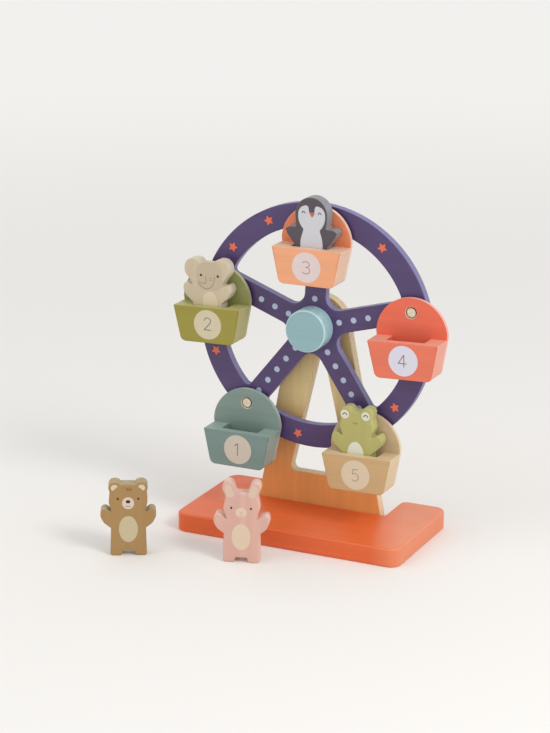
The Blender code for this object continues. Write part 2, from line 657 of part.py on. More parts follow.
def figure(name, shares, side_clearance, finish, stand):
    """A flat figure with raised arms and a notch between its feet, which stand on its parent's place.

    Its body is as wide as a tub's pocket, less the clearance on each side.
    """
    body = POCKET_WIDTH / 2 - side_clearance
    half = [
        (0.0, FOOT_NOTCH_HEIGHT, 0.0), (FOOT_NOTCH_WIDTH / 2, FOOT_NOTCH_HEIGHT, FOOT_NOTCH_CORNER),
        (FOOT_NOTCH_WIDTH / 2 + FOOT_NOTCH_SPLAY, 0.0, FOOT_NOTCH_CORNER), (body, 0.0, FIGURE_FOOT_CORNER),
    ]
    for x_share, z_share, radius_share in shares:
        x = x_share * FIGURE_ARM_SPAN / 2
        half.append((x, z_share * FIGURE_HEIGHT, radius_share * FIGURE_HEIGHT))
    shape = board(name, rounded(mirrored(half)), [], FIGURE_THICKNESS, FIGURE_EDGE, (0, 0, 0))
    return place(shape, finish, stand)


def bucket_axis(number):
    """The empty that a bucket and its rider hang from: on the peg's axis, with the bucket's lean."""
    x, z = peg_place(number)
    axis = pivot(f"bucket_axis_{number}", (x, 0, HUB_HEIGHT + z))
    axis.rotation_euler = (0, -BUCKET_LEANS[number], 0)
    return axis


def rider(name, shares, side_clearance, finish, hanger, shift):
    """A figure whose feet stand on its tub's floor."""
    floor_drop = TUB_TOP_DROP + POCKET_DEPTH - SEAT_GAP
    seat_y = PANEL_FRONT_Y - FIGURE_FACE_CLEARANCE - FIGURE_THICKNESS / 2
    seat = pivot(name + "_seat", (shift, seat_y, -floor_drop))
    seat.parent = hanger
    figure(name, shares, side_clearance, finish, seat)


def standing_figure(name, shares, finish, spot, turn):
    """A figure that stands on the floor, turned towards the viewer."""
    stand = pivot(name + "_spot", (*spot, 0))
    stand.rotation_euler = (0, 0, turn)
    figure(name, shares, FIGURE_SIDE_CLEARANCE, finish, stand)


def build():
    """Make every piece of the toy."""
    base_board()
    upright()
    upright_screws()
    hub = pivot("wheel_axis", (0, 0, HUB_HEIGHT))
    wheel(hub)
    hub_pieces(hub)
    hangers = {number: bucket_axis(number) for number in BUCKET_PAINTS}
    for number, hanger in hangers.items():
        peg(number, hub)
        bucket(number, hanger)
    rider("penguin", PENGUIN_SHARES, FIGURE_SIDE_CLEARANCE, PENGUIN_GREY, hangers[3], PENGUIN_SHIFT)
    rider("elephant", ELEPHANT_SHARES, SLIM_SIDE_CLEARANCE, ELEPHANT_GREY, hangers[2], ELEPHANT_SHIFT)
    rider("frog", FROG_SHARES, SLIM_SIDE_CLEARANCE, FROG_GREEN, hangers[5], FROG_SHIFT)
    standing_figure("bear", BEAR_SHARES, BEAR_BROWN, (BEAR_X, BEAR_Y), BEAR_TURN)
    standing_figure("rabbit", RABBIT_SHARES, RABBIT_PINK, (RABBIT_X, RABBIT_Y), RABBIT_TURN)


build()
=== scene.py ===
# %% [markdown]
# A wooden ferris wheel play set.
#
# The toy is a thick board, a plywood upright and a wheel sawn from a thinner board. Five buckets hang
# from wooden pegs in the rim, three flat animals ride in them and two more stand on the table. The
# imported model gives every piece's place and size. This script gives the pieces their eased edges,
# paint, bare wood and printed faces.
#
# Lengths are in metres. The front of the toy faces -Y and Z is up.

# %% Load the frame
import math

import bpy
from mathutils import Matrix, Vector


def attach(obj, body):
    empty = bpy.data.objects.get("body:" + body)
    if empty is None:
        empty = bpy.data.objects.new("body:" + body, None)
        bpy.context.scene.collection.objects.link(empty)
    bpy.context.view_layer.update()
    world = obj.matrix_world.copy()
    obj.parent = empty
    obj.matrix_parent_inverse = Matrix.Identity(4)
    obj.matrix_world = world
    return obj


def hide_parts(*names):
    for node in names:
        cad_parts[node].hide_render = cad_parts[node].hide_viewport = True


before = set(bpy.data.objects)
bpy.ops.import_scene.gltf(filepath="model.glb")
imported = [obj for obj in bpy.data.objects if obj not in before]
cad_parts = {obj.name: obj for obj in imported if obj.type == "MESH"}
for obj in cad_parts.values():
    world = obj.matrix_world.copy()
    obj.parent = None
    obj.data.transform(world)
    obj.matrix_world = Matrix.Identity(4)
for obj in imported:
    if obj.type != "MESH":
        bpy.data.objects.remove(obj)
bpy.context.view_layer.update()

# %% [markdown]
# The camera stands where the photographer's did: to the right of the toy, a little above it, and far
# away, so that the perspective is slight. A long lens does that. A small shift of the lens puts the toy
# at its height in the frame, as moving a print under its mount would.

# %% Camera
IMAGE_WIDTH, IMAGE_HEIGHT = 550, 733
SENSOR = 36.0
FOCAL_LENGTH_IN_PIXELS = 2318.07
AXIS_X, AXIS_Y = 271.61, 338.94
CAMERA_AZIMUTH = math.radians(25.236)
CAMERA_ELEVATION = math.radians(15.910)
CAMERA_ROLL = math.radians(0.3817)
CAMERA_DISTANCE = 1.85088
CAMERA_TARGET = Vector((-0.03626, -0.0008, 0.15501))

away = Vector((
    math.sin(CAMERA_AZIMUTH) * math.cos(CAMERA_ELEVATION),
    -math.cos(CAMERA_AZIMUTH) * math.cos(CAMERA_ELEVATION),
    math.sin(CAMERA_ELEVATION),
))
level_right = (-away).cross(Vector((0, 0, 1))).normalized()
level_up = level_right.cross(-away)
right = level_right * math.cos(CAMERA_ROLL) + level_up * math.sin(CAMERA_ROLL)
up = level_up * math.cos(CAMERA_ROLL) - level_right * math.sin(CAMERA_ROLL)
bpy.ops.object.camera_add()
camera = bpy.context.object
camera.matrix_world = Matrix.LocRotScale(
    CAMERA_TARGET + away * CAMERA_DISTANCE, Matrix((right, up, away)).transposed().to_quaternion(), None)
camera.data.sensor_width = SENSOR
camera.data.lens = FOCAL_LENGTH_IN_PIXELS * SENSOR / IMAGE_HEIGHT
camera.data.shift_x = (IMAGE_WIDTH / 2 - AXIS_X) / IMAGE_HEIGHT
camera.data.shift_y = (AXIS_Y - IMAGE_HEIGHT / 2) / IMAGE_HEIGHT
camera.data.clip_start = 0.1
camera.data.clip_end = 50
bpy.context.scene.camera = camera
bpy.context.scene.view_settings.view_transform = "Standard"
print("camera at", [round(c, 3) for c in camera.location], "with a", round(camera.data.lens, 1), "mm lens")

# %% [markdown]
# Light for a toy in a catalogue is soft and comes from all round: a bright room, a soft box high on the
# right that brightens the right-hand ends of the boards and shades the pegs' recesses, and a larger,
# weaker one on the left. One lamp would be simpler, but its shadows would be hard and dark.

# %% Lights
def soft_box(name, place, size, watts):
    """Hang a square soft box that faces the middle of the toy."""
    bpy.ops.object.light_add(type="AREA", location=place)
    lamp = bpy.context.object
    lamp.name = name
    lamp.rotation_euler = (Vector(place) - CAMERA_TARGET).to_track_quat("Z", "Y").to_euler()
    lamp.data.size = size
    lamp.data.energy = watts
    print(name, "of", watts, "W")


soft_box("key_light", (1.35, -0.6, 1.3), 0.6, 12)
soft_box("fill_light", (-1.1, -1.3, 1.2), 1.4, 5.5)

# %% [markdown]
# The toy stands on paper. Near the toy the paper takes the shadows. Further out it fades into one as
# bright as the room behind it, so that no horizon shows. More light would do that too, but it would
# bleach the toy. So the room and the far paper only look bright: a Light Path node tells the rays that
# are seen from the rays that light the toy, and each kind gets its own shader.

# %% Room and floor
WHITE = (1, 1, 1, 1)
ROOM_LEVEL = 0.75
FLOOR_SIZE = 24.0
FLOOR_COLOUR, FLOOR_ROUGHNESS = (0.90, 0.88, 0.85, 1), 0.9
PAPER_COLOUR = (0.89, 0.88, 0.86, 1)
FADE_START, FADE_END = 0.35, 2.2


def add_primitive(add, name, **settings):
    """Start a piece from a primitive, with nothing else selected."""
    bpy.ops.object.select_all(action="DESELECT")
    add(**settings)
    piece = bpy.context.object
    piece.name = name
    return piece


def calculate(tree, operation, first, second):
    """One number from two outputs."""
    node = tree.nodes.new("ShaderNodeMath")
    node.operation = operation
    for socket, output in zip(node.inputs, (first, second)):
        tree.links.new(output, socket)
    return node.outputs[0]


def is_seen(tree):
    """1 on a ray that comes from the camera, a reflection or a clear piece, 0 on a ray that lights."""
    ray = tree.nodes.new("ShaderNodeLightPath").outputs
    seen = calculate(tree, "MAXIMUM", ray["Is Camera Ray"], ray["Is Glossy Ray"])
    return calculate(tree, "MAXIMUM", seen, ray["Is Transmission Ray"])


def mix_shaders(tree, factor, first, second, surface):
    """Mix two shaders by an output, and send them to the surface."""
    node = tree.nodes.new("ShaderNodeMixShader")
    for socket, output in zip(node.inputs, (factor, first.outputs[0], second.outputs[0])):
        tree.links.new(output, socket)
    tree.links.new(node.outputs[0], surface.inputs["Surface"])


world = bpy.data.worlds.new("room")
bpy.context.scene.world = world
world.use_nodes = True
room = world.node_tree
room_light = room.nodes["Background"]
room_light.inputs["Color"].default_value = WHITE
room_light.inputs["Strength"].default_value = ROOM_LEVEL
room_paper = room.nodes.new("ShaderNodeBackground")
room_paper.inputs["Color"].default_value = PAPER_COLOUR
mix_shaders(room, is_seen(room), room_light, room_paper, room.nodes["World Output"])

floor = add_primitive(bpy.ops.mesh.primitive_plane_add, "floor", size=FLOOR_SIZE)
floor_paper = bpy.data.materials.new("floor_paper")
floor_paper.use_nodes = True
floor.data.materials.append(floor_paper)
paper = floor_paper.node_tree
near_paper = paper.nodes["Principled BSDF"]
near_paper.inputs["Base Color"].default_value = FLOOR_COLOUR
near_paper.inputs["Roughness"].default_value = FLOOR_ROUGHNESS
far_paper = paper.nodes.new("ShaderNodeEmission")
far_paper.inputs["Color"].default_value = PAPER_COLOUR
floor_place = paper.nodes.new("ShaderNodeTexCoord")
distance = paper.nodes.new("ShaderNodeVectorMath")
distance.operation = "LENGTH"
paper.links.new(floor_place.outputs["Object"], distance.inputs[0])
fade = paper.nodes.new("ShaderNodeMapRange")
fade.interpolation_type = "SMOOTHSTEP"
fade.inputs["From Min"].default_value = FADE_START
fade.inputs["From Max"].default_value = FADE_END
paper.links.new(distance.outputs["Value"], fade.inputs["Value"])
seen_far = calculate(paper, "MULTIPLY", fade.outputs["Result"], is_seen(paper))
mix_shaders(paper, seen_far, near_paper, far_paper, paper.nodes["Material Output"])
print("floor of", FLOOR_SIZE, "m, room level", ROOM_LEVEL)

# %% [markdown]
# Nearly every finish on the toy is paint, lacquer or ink on wood. Paint on wood isn't one flat colour: the
# grain telegraphs through as faint streaks, the coat is a little thicker in places, and its surface has
# the fine orange peel that spraying leaves. A picture of painted wood would have to be stretched over
# every piece, so each paint is made of noises instead: one that is stretched along the grain mixes a
# darker and a lighter shade, a wide one adds soft clouds, and a fine one is the bump.
#
# Colours are written as a screen shows them, and made linear for the shader.

# %% Colours, noises and gradients
SHARP, SOFT = (0.35, 0.65), (0.3, 0.7)


def linear(colour):
    """The linear colour of a colour as a screen shows it."""
    return tuple(c / 12.92 if c <= 0.04045 else ((c + 0.055) / 1.055) ** 2.4 for c in colour) + (1.0,)


def shaded(colour, factor):
    """A colour, darker or lighter."""
    return tuple(min(1.0, c * factor) for c in colour)


def noise(tree, scale, stretch=(1, 1, 1), detail=2, roughness=0.5):
    """A noise on object coordinates, whose stretch is how many times finer it is along each axis."""
    coordinates = tree.nodes.new("ShaderNodeTexCoord")
    mapping = tree.nodes.new("ShaderNodeMapping")
    mapping.inputs["Scale"].default_value = stretch
    texture = tree.nodes.new("ShaderNodeTexNoise")
    for name, number in (("Scale", scale), ("Detail", detail), ("Roughness", roughness)):
        texture.inputs[name].default_value = number
    tree.links.new(coordinates.outputs["Object"], mapping.inputs["Vector"])
    tree.links.new(mapping.outputs["Vector"], texture.inputs["Vector"])
    return texture.outputs["Fac"]


def spread(tree, value, between, over=(0.0, 1.0)):
    """Stretch the values between two numbers over a new range."""
    node = tree.nodes.new("ShaderNodeMapRange")
    for name, number in zip(("From Min", "From Max", "To Min", "To Max"), (*between, *over)):
        node.inputs[name].default_value = number
    tree.links.new(value, node.inputs["Value"])
    return node.outputs["Result"]


def mottle(tree, scale, detail=2, over=(0.0, 1.0)):
    """An even noise, spread over a range."""
    return spread(tree, noise(tree, scale, detail=detail), SOFT, over)


def along(tree, direction):
    """How far a point lies along a direction."""
    coordinates = tree.nodes.new("ShaderNodeTexCoord")
    product = tree.nodes.new("ShaderNodeVectorMath")
    product.operation = "DOT_PRODUCT"
    product.inputs[1].default_value = direction
    tree.links.new(coordinates.outputs["Object"], product.inputs[0])
    return product.outputs["Value"]


print("colours, noises and gradients")

# %% [markdown]
# A noise only becomes a finish when it picks between colours and raises a relief. One shader takes both,
# with a roughness that says how glossy the coat is.

# %% Mixed colours, relief and the shader
def mix_colours(tree, factor, first, second, blend="MIX"):
    """Mix two colours, or outputs that carry them, by a factor or an output."""
    node = tree.nodes.new("ShaderNodeMix")
    node.data_type = "RGBA"
    node.blend_type = blend
    for socket, value in ((node.inputs[0], factor), (node.inputs[6], first), (node.inputs[7], second)):
        if isinstance(value, bpy.types.NodeSocket):
            tree.links.new(value, socket)
        else:
            socket.default_value = value
    return node.outputs[2]


def two_shades(tree, factor, colour, contrast):
    """Mix a darker and a lighter shade of one colour."""
    darker, lighter = shaded(colour, 1 - contrast), shaded(colour, 1 + contrast / 2)
    return mix_colours(tree, factor, linear(darker), linear(lighter))


def bump(tree, height, strength, distance=0.0001, under=None):
    """Turn a height into a bump, on top of another one if it is given."""
    node = tree.nodes.new("ShaderNodeBump")
    node.inputs["Strength"].default_value = strength
    node.inputs["Distance"].default_value = distance
    tree.links.new(height, node.inputs["Height"])
    if under is not None:
        tree.links.new(under, node.inputs["Normal"])
    return node.outputs["Normal"]


def start_material(name, roughness):
    """A new material with its shader, ready for its nodes."""
    material = bpy.data.materials.new(name)
    material.use_nodes = True
    shader = material.node_tree.nodes["Principled BSDF"]
    shader.inputs["Roughness"].default_value = roughness
    return material, material.node_tree, shader


def dress(tree, shader, colour, relief):
    """Give a shader its colour and its relief."""
    tree.links.new(colour, shader.inputs["Base Color"])
    tree.links.new(relief, shader.inputs["Normal"])


print("mixed colours, relief and the shader")

# %% [markdown]
# Most of the toy has one of three kinds of finish: paint, bare wood, or a coat that is nearly even, such
# as ink. The base's paint is paler at one end, which is a painted glare, and the upright's wood is warmer
# at its foot, which is painted light thrown up from the orange base, as in the photograph. A gradient
# along a direction paints both, because it stays with the piece.

# %% Paint, bare wood and even coats
GRAIN_ALONG = {"X": (6, 160, 160), "Y": (160, 6, 160), "Z": (160, 160, 6)}
GRAIN_RELIEF = 0.07
CLOUD_SCALE = 22.0
PEEL_SCALE, PEEL_RELIEF = 1400.0, 0.10
WEAR_SCALE, WORN_SMOOTHER, WORN_ROUGHER = 60.0, 0.05, 0.07
PORES_FINER, PORE_RELIEF, PORE_DEPTH = 2.4, 0.25, 0.0002
RINGS_FINER = 0.28
INK_SCALE, INK_DARKER, INK_PALER, INK_RELIEF = 1500.0, 0.985, 1.01, 0.05
BOUNCE_HEIGHTS = (0.04, 0.11)
GLARE_DIRECTION = (1, 0.34, 0)
GLARE_REACH = (0.056, 0.080)


def paint(name, colour, grain="X", roughness=0.42, streaks=0.02, clouds=0.03, glare_colour=None):
    """Satin paint on wood: faint grain streaks, soft clouds, a fine orange peel and maybe a painted glare.
    """
    material, tree, shader = start_material(name, roughness)
    grain_lines = spread(tree, noise(tree, 1.0, GRAIN_ALONG[grain], 4), SHARP)
    streaked = two_shades(tree, grain_lines, colour, streaks)
    if glare_colour:
        glare_share = spread(tree, along(tree, GLARE_DIRECTION), GLARE_REACH)
        streaked = mix_colours(tree, glare_share, streaked, linear(glare_colour))
    tint = mix_colours(tree, mottle(tree, CLOUD_SCALE), (1 - clouds, 1 - clouds, 1 - clouds, 1), WHITE)
    worn = mottle(tree, WEAR_SCALE, 3, (roughness - WORN_SMOOTHER, roughness + WORN_ROUGHER))
    tree.links.new(worn, shader.inputs["Roughness"])
    peel = bump(tree, noise(tree, PEEL_SCALE), PEEL_RELIEF, under=bump(tree, grain_lines, GRAIN_RELIEF))
    dress(tree, shader, mix_colours(tree, 1.0, streaked, tint, "MULTIPLY"), peel)
    return material


def bare_wood(name, colour, grain="Z", roughness=0.55, streaks=0.14, foot=None, pore=(0.90, 0.87, 0.82)):
    """Plain wood: fine pores and broader growth rings along the grain, and painted bounce light at the
    foot.
    """
    material, tree, shader = start_material(name, roughness)
    finer, broader = (tuple(s * times for s in GRAIN_ALONG[grain]) for times in (PORES_FINER, RINGS_FINER))
    pores = spread(tree, noise(tree, 1.0, finer, 5, 0.6), SOFT)
    rings = spread(tree, noise(tree, 1.0, broader, 3), SHARP)
    ringed = two_shades(tree, rings, colour, streaks)
    # A warmer colour towards the foot: painted light reflected up from the orange base.
    if foot:
        height = spread(tree, along(tree, (0, 0, 1)), BOUNCE_HEIGHTS)
        ringed = mix_colours(tree, height, two_shades(tree, rings, foot, streaks), ringed)
    pored = mix_colours(tree, pores, linear(pore), WHITE)
    relief = bump(tree, pores, PORE_RELIEF, PORE_DEPTH)
    dress(tree, shader, mix_colours(tree, 1.0, ringed, pored, "MULTIPLY"), relief)
    return material


def even_coat(name, roughness, scale, dark, pale, relief, metallic=0.0):
    """A nearly even coat: two close shades in a fine mottle, which is its relief too."""
    material, tree, shader = start_material(name, roughness)
    shader.inputs["Metallic"].default_value = metallic
    mottling = mottle(tree, scale)
    colour = mix_colours(tree, mottling, linear(dark), linear(pale))
    dress(tree, shader, colour, bump(tree, mottling, relief))
    return material


def ink(name, colour):
    """Pad-printed ink: a thin even coat."""
    darker, paler = shaded(colour, INK_DARKER), shaded(colour, INK_PALER)
    return even_coat(name, 0.5, INK_SCALE, darker, paler, INK_RELIEF)


print("paint, bare wood and even coats")

# %% [markdown]
# Blender's operators act on what is selected, as a hand does in its window. So a few tools select one
# piece, or only some of its faces or edges, before they shape it. Others write a finished piece's place
# into its mesh, give it its materials, and say which part of the toy it moves with.

# %% Tools for pieces
NEAR = 0.00001
SMOOTH_BELOW = math.radians(35)


def select_only(piece):
    """Make one object the only one that the next operators act on."""
    bpy.ops.object.select_all(action="DESELECT")
    piece.select_set(True)
    bpy.context.view_layer.objects.active = piece


def at(x, y, z, lean=0.0, turn=0.0):
    """A place: its point, how far it leans to the left and how far it is turned about the vertical."""
    return Matrix.Translation((x, y, z)) @ Matrix.Rotation(turn, 4, "Z") @ Matrix.Rotation(-lean, 4, "Y")


def put(piece, place):
    """Bring a piece to its place, and write the place into its mesh."""
    select_only(piece)
    piece.matrix_world = place @ piece.matrix_world
    bpy.ops.object.transform_apply()
    return piece


def select_where(piece, kind, test):
    """Open a piece in edit mode with only the faces, or the edges, selected that pass a test.

    The test of a face gets its centre and normal, and that of an edge gets its two ends.
    """
    select_only(piece)
    bpy.ops.object.mode_set(mode="EDIT")
    bpy.ops.mesh.select_mode(type=kind)
    bpy.ops.mesh.select_all(action="DESELECT")
    bpy.ops.object.mode_set(mode="OBJECT")
    mesh = piece.data
    if kind == "FACE":
        for face in mesh.polygons:
            face.select = test(face.center, face.normal)
    else:
        for edge in mesh.edges:
            edge.select = test(*(mesh.vertices[end].co for end in edge.vertices))
    bpy.ops.object.mode_set(mode="EDIT")


def give_material(piece, material, test=None):
    """Give a piece its material, or give another material to the faces that pass a test."""
    piece.data.materials.append(material)
    if test is not None:
        select_where(piece, "FACE", test)
        piece.active_material_index = len(piece.data.materials) - 1
        bpy.ops.object.material_slot_assign()
        bpy.ops.object.mode_set(mode="OBJECT")


def apply_modifier(piece, kind, **settings):
    """Add a modifier to a piece and apply it."""
    select_only(piece)
    modifier = piece.modifiers.new(kind.lower(), kind)
    for name, value in settings.items():
        setattr(modifier, name, value)
    bpy.ops.object.modifier_apply(modifier=modifier.name)


def smooth(piece):
    """Shade rounded edges smooth, with the flat faces kept flat by their area."""
    select_only(piece)
    bpy.ops.object.shade_smooth_by_angle(angle=SMOOTH_BELOW)
    apply_modifier(piece, "WEIGHTED_NORMAL", keep_sharp=True)


def finish(piece, body, slot, *nodes):
    """Say which body a piece rides on and which nodes it stands for; the slot, its finish, is not used."""
    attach(piece, body)
    if nodes:
        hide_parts(*nodes)
    print(piece.name, len(piece.data.polygons), "faces, rides on", body)


print("tools for pieces")

# %% [markdown]
# Most pieces of this toy are sawn from a board, along a line that is drawn on it. A saw line here is a
# list of corners, each with the radius of the arc that rounds it. Handles of a curve could round them
# too, but no radius could be read from those. An arc's ends lie at an equal distance from its corner,
# and from that distance the rest follows. Where two arcs would meet on a short side, both shrink.

# %% Tools for saw lines
FILLET_STEP = math.radians(9)
STRAIGHT = math.radians(179.5)


def fillet(corner, before, after, tangent):
    """Points of the arc that rounds a corner, a tangent's length from it on both sides."""
    opening = before.angle(after)
    bisector = (before.normalized() + after.normalized()).normalized()
    centre = corner + bisector * (tangent / math.cos(opening / 2))
    first = corner + before.normalized() * tangent - centre
    sweep = math.pi - opening
    turn = math.copysign(sweep, before.y * after.x - before.x * after.y)
    steps = max(2, math.ceil(sweep / FILLET_STEP))
    return [centre + Matrix.Rotation(turn * k / steps, 2) @ first for k in range(steps + 1)]


def saw_line(corners):
    """Round the corners (x, y, radius) of a closed line. Fillets that don't fit both shrink."""
    count = len(corners)
    places = [Vector(corner[:2]) for corner in corners]
    before = [places[i - 1] - places[i] for i in range(count)]
    after = [places[(i + 1) % count] - places[i] for i in range(count)]
    openings = [b.angle(a) for b, a in zip(before, after)]
    tangents = [corner[2] / math.tan(opening / 2) for corner, opening in zip(corners, openings)]
    points = []
    for i, tangent in enumerate(tangents):
        if openings[i] > STRAIGHT:
            continue
        if tangent == 0.0:
            points.append(places[i])
            continue
        room = min(1, before[i].length / (tangent + tangents[i - 1]),
                   after[i].length / (tangent + tangents[(i + 1) % count]))
        points += fillet(places[i], before[i], after[i], tangent * room)
    return [(point.x, point.y) for point in points]


def both_sides(half):
    """Close a half line, drawn from the foot of the middle to its top, with its mirror image."""
    return half + [(-x, y, radius) for x, y, radius in reversed(half) if x > 0]


def around(radius, angle, x=0.0, y=0.0):
    """The point on a circle at an angle."""
    return x + radius * math.cos(angle), y + radius * math.sin(angle)


def arc(x, y, radius, start, end, steps):
    """Corners along an arc, both ends included."""
    return [(*around(radius, start + (end - start) * i / steps, x, y), 0.0) for i in range(steps + 1)]


def ring_line(x, y, radius, steps=48):
    """A round closed line."""
    return [corner[:2] for corner in arc(x, y, radius, 0, 2 * math.pi, steps)[:-1]]


print("tools for saw lines")

# %% [markdown]
# The saw follows the line, and a small round bit then eases the edges of both faces. Such a board could
# be cut from a block by booleans, but a flat curve is simpler: Blender fills it and thickens it, and its
# bevel eases the edges. The curve's offset pulls the line in by that much first, so the board keeps its
# size. The curve is then made a mesh, because a mesh can be cut, and can have one material on its faces
# and another on its sawn edges, which take paint differently, and on several boards carry a painted
# highlight.

# %% Tools for sawn boards
EDGE_STEPS = 3
EDGE_SLOPE = 0.35
MERGE_DISTANCE = 0.000002


def draw(curve, line, closed):
    """Draw a line of points into a curve."""
    spline = curve.splines.new("POLY")
    spline.points.add(len(line) - 1)
    for point, (x, y) in zip(spline.points, line):
        point.co = (x, y, 0, 1)
    spline.use_cyclic_u = closed


def saw(name, lines, thickness, edge, face_material, edge_material=None, steps=EDGE_STEPS):
    """Saw a board along an outer line and the lines of its holes. It lies flat, centred on z = 0."""
    curve = add_primitive(bpy.ops.curve.primitive_bezier_circle_add, name).data
    curve.splines.clear()
    for line in [lines[0]] + [hole[::-1] for hole in lines[1:]]:
        draw(curve, line, closed=True)
    curve.dimensions = "2D"
    curve.fill_mode = "BOTH"
    curve.extrude = thickness / 2 - edge
    curve.bevel_depth = edge
    curve.bevel_resolution = steps
    curve.offset = -edge
    bpy.ops.object.convert(target="MESH")
    board = bpy.context.object
    bpy.ops.object.mode_set(mode="EDIT")
    bpy.ops.mesh.select_all(action="SELECT")
    bpy.ops.mesh.remove_doubles(threshold=MERGE_DISTANCE)
    bpy.ops.mesh.normals_make_consistent(inside=False)
    bpy.ops.object.mode_set(mode="OBJECT")
    give_material(board, face_material)
    if edge_material:
        give_material(board, edge_material, lambda centre, normal: abs(normal.z) < EDGE_SLOPE)
    return board


print("tools for sawn boards")

# %% [markdown]
# The base is a board of solid wood, 15.5 mm thick, with round corners and a deep notch in its back
# edge where the upright stands. Its line is symmetric, so only half of it is written. Its orange paint
# is a shade deeper on the sawn edges, which soak up more of it, and paler at its right-hand end, which is
# a painted glare. The grain runs along the board, so its streaks do too.

# %% Base board
BASE_WIDTH, BASE_DEPTH, BASE_THICKNESS = 0.194, 0.107, 0.0155
BASE_CORNER, BASE_EDGE = 0.0095, 0.0018
NOTCH_HALF_WIDTH, NOTCH_WALL_Y = 0.0577, 0.0145
NOTCH_MOUTH_CORNER, NOTCH_CORNER = 0.006, 0.003

# The paler colour towards the right-hand end is a painted glare.
orange = paint("orange_paint", (0.91, 0.41, 0.19), roughness=0.40, glare_colour=(0.92, 0.55, 0.39))
orange_edge = paint("orange_paint_edge", (0.89, 0.39, 0.17), streaks=0.03, glare_colour=(0.91, 0.53, 0.37))
base_line = saw_line(both_sides([
    (0.0, -BASE_DEPTH / 2, 0.0),
    (BASE_WIDTH / 2, -BASE_DEPTH / 2, BASE_CORNER),
    (BASE_WIDTH / 2, BASE_DEPTH / 2, BASE_CORNER),
    (NOTCH_HALF_WIDTH, BASE_DEPTH / 2, NOTCH_MOUTH_CORNER),
    (NOTCH_HALF_WIDTH, NOTCH_WALL_Y, NOTCH_CORNER),
    (0.0, NOTCH_WALL_Y, 0.0),
]))
base = saw("base", [base_line], BASE_THICKNESS, BASE_EDGE, orange, orange_edge, steps=4)
put(base, at(0, 0, BASE_THICKNESS / 2))
smooth(base)
finish(base, "stand", "orange_paint", "base_board")

# %% [markdown]
# The upright is plywood, left bare under a clear lacquer. Its face shows one veneer with the grain
# running up. Its sawn edge shows the plies, which alternate between long grain and dark end grain.
# Seven thin boards could be glued up, but the plies are flush, so a material shows them as well: they
# are bands across the thickness, which come from the place of a point along Y.

# %% Plywood
UPRIGHT_FRONT_Y, UPRIGHT_THICKNESS = 0.0148, 0.009
PLIES, PLY_BORDER = 7, (0.22, 0.28)
FIBRES, FIBRE_RELIEF, FIBRE_DEPTH = (900, 300, 900), 0.3, 0.0003


def plywood_edge(name, pale, dark):
    """The sawn edge of the upright: plies in turn pale and dark."""
    material, tree, shader = start_material(name, 0.62)
    faces = (UPRIGHT_FRONT_Y, UPRIGHT_FRONT_Y + UPRIGHT_THICKNESS)
    depth = spread(tree, along(tree, (0, 1, 0)), faces, (0, PLIES / 2))
    to_and_fro = tree.nodes.new("ShaderNodeMath")
    to_and_fro.operation = "PINGPONG"
    to_and_fro.inputs[1].default_value = 0.5
    tree.links.new(depth, to_and_fro.inputs[0])
    ply = spread(tree, to_and_fro.outputs[0], PLY_BORDER)
    fibres = spread(tree, noise(tree, 1.0, FIBRES, 4), SOFT)
    plies = mix_colours(tree, ply, linear(pale), linear(dark))
    tone = mix_colours(tree, fibres, linear((0.93, 0.90, 0.86)), WHITE)
    relief = bump(tree, fibres, FIBRE_RELIEF, FIBRE_DEPTH)
    dress(tree, shader, mix_colours(tree, 1.0, plies, tone, "MULTIPLY"), relief)
    return material


# The foot colour is painted light, thrown up onto the upright from the orange base.
veneer = bare_wood("plywood_veneer", (0.92, 0.83, 0.60), streaks=0.025, foot=(0.94, 0.67, 0.385),
                   pore=(0.96, 0.95, 0.92))
plies = plywood_edge("plywood_edge", (0.98, 0.93, 0.80), (0.88, 0.79, 0.62))
print("veneer and", PLIES, "plies")

# %% [markdown]
# The upright is shaped like an A: two legs lean in and run into a round head, and a tall window leaves
# them and a sill. Each leg's outside is a tangent of the head, so where the arc starts is worked out
# and not drawn. The head isn't quite above the middle, as in the photograph.

# %% Upright
HUB_HEIGHT = 0.1696
UPRIGHT_EDGE = 0.0005
HEAD_RADIUS, HEAD_X, HEAD_Z = 0.0242, -0.0013, -0.0015
FOOT_HALF, FOOT_CORNER = 0.054, 0.001
FLOOR_GAP = 0.0005
SILL, WINDOW_TOP, WINDOW_HALF = -0.1281, -0.0153, 0.02625
SILL_CORNER, WINDOW_TOP_CORNER = 0.0045, 0.0032
BORE_RADIUS = 0.0053
STAND_UP = Matrix.Rotation(math.radians(90), 4, "X")


def leg_and_head(side):
    """The upright's line from its foot over one leg, which is a tangent of the head, to the top."""
    across, rise = FOOT_HALF - side * HEAD_X, HUB_HEIGHT + HEAD_Z - BASE_THICKNESS
    lean_in = math.atan2(across, rise) - math.asin(HEAD_RADIUS / math.hypot(across, rise))
    half = [(FOOT_HALF, FLOOR_GAP - HUB_HEIGHT, FOOT_CORNER),
            (FOOT_HALF, BASE_THICKNESS - HUB_HEIGHT, 0.0)]
    half += arc(side * HEAD_X, HEAD_Z, HEAD_RADIUS, lean_in, math.pi / 2, 24)
    return [(side * x, z, radius) for x, z, radius in half]


upright_line = saw_line(leg_and_head(1) + leg_and_head(-1)[-2::-1])
window_line = saw_line([
    (-WINDOW_HALF, SILL, SILL_CORNER), (WINDOW_HALF, SILL, SILL_CORNER),
    (0.0, WINDOW_TOP, WINDOW_TOP_CORNER),
])
axle_bore = ring_line(0, 0, BORE_RADIUS, 32)
upright = saw("upright_board", [upright_line, window_line, axle_bore], UPRIGHT_THICKNESS, UPRIGHT_EDGE,
              veneer, plies, steps=2)
put(upright, at(0, UPRIGHT_FRONT_Y + UPRIGHT_THICKNESS / 2, HUB_HEIGHT) @ STAND_UP)
smooth(upright)
finish(upright, "stand", "plywood", "upright")
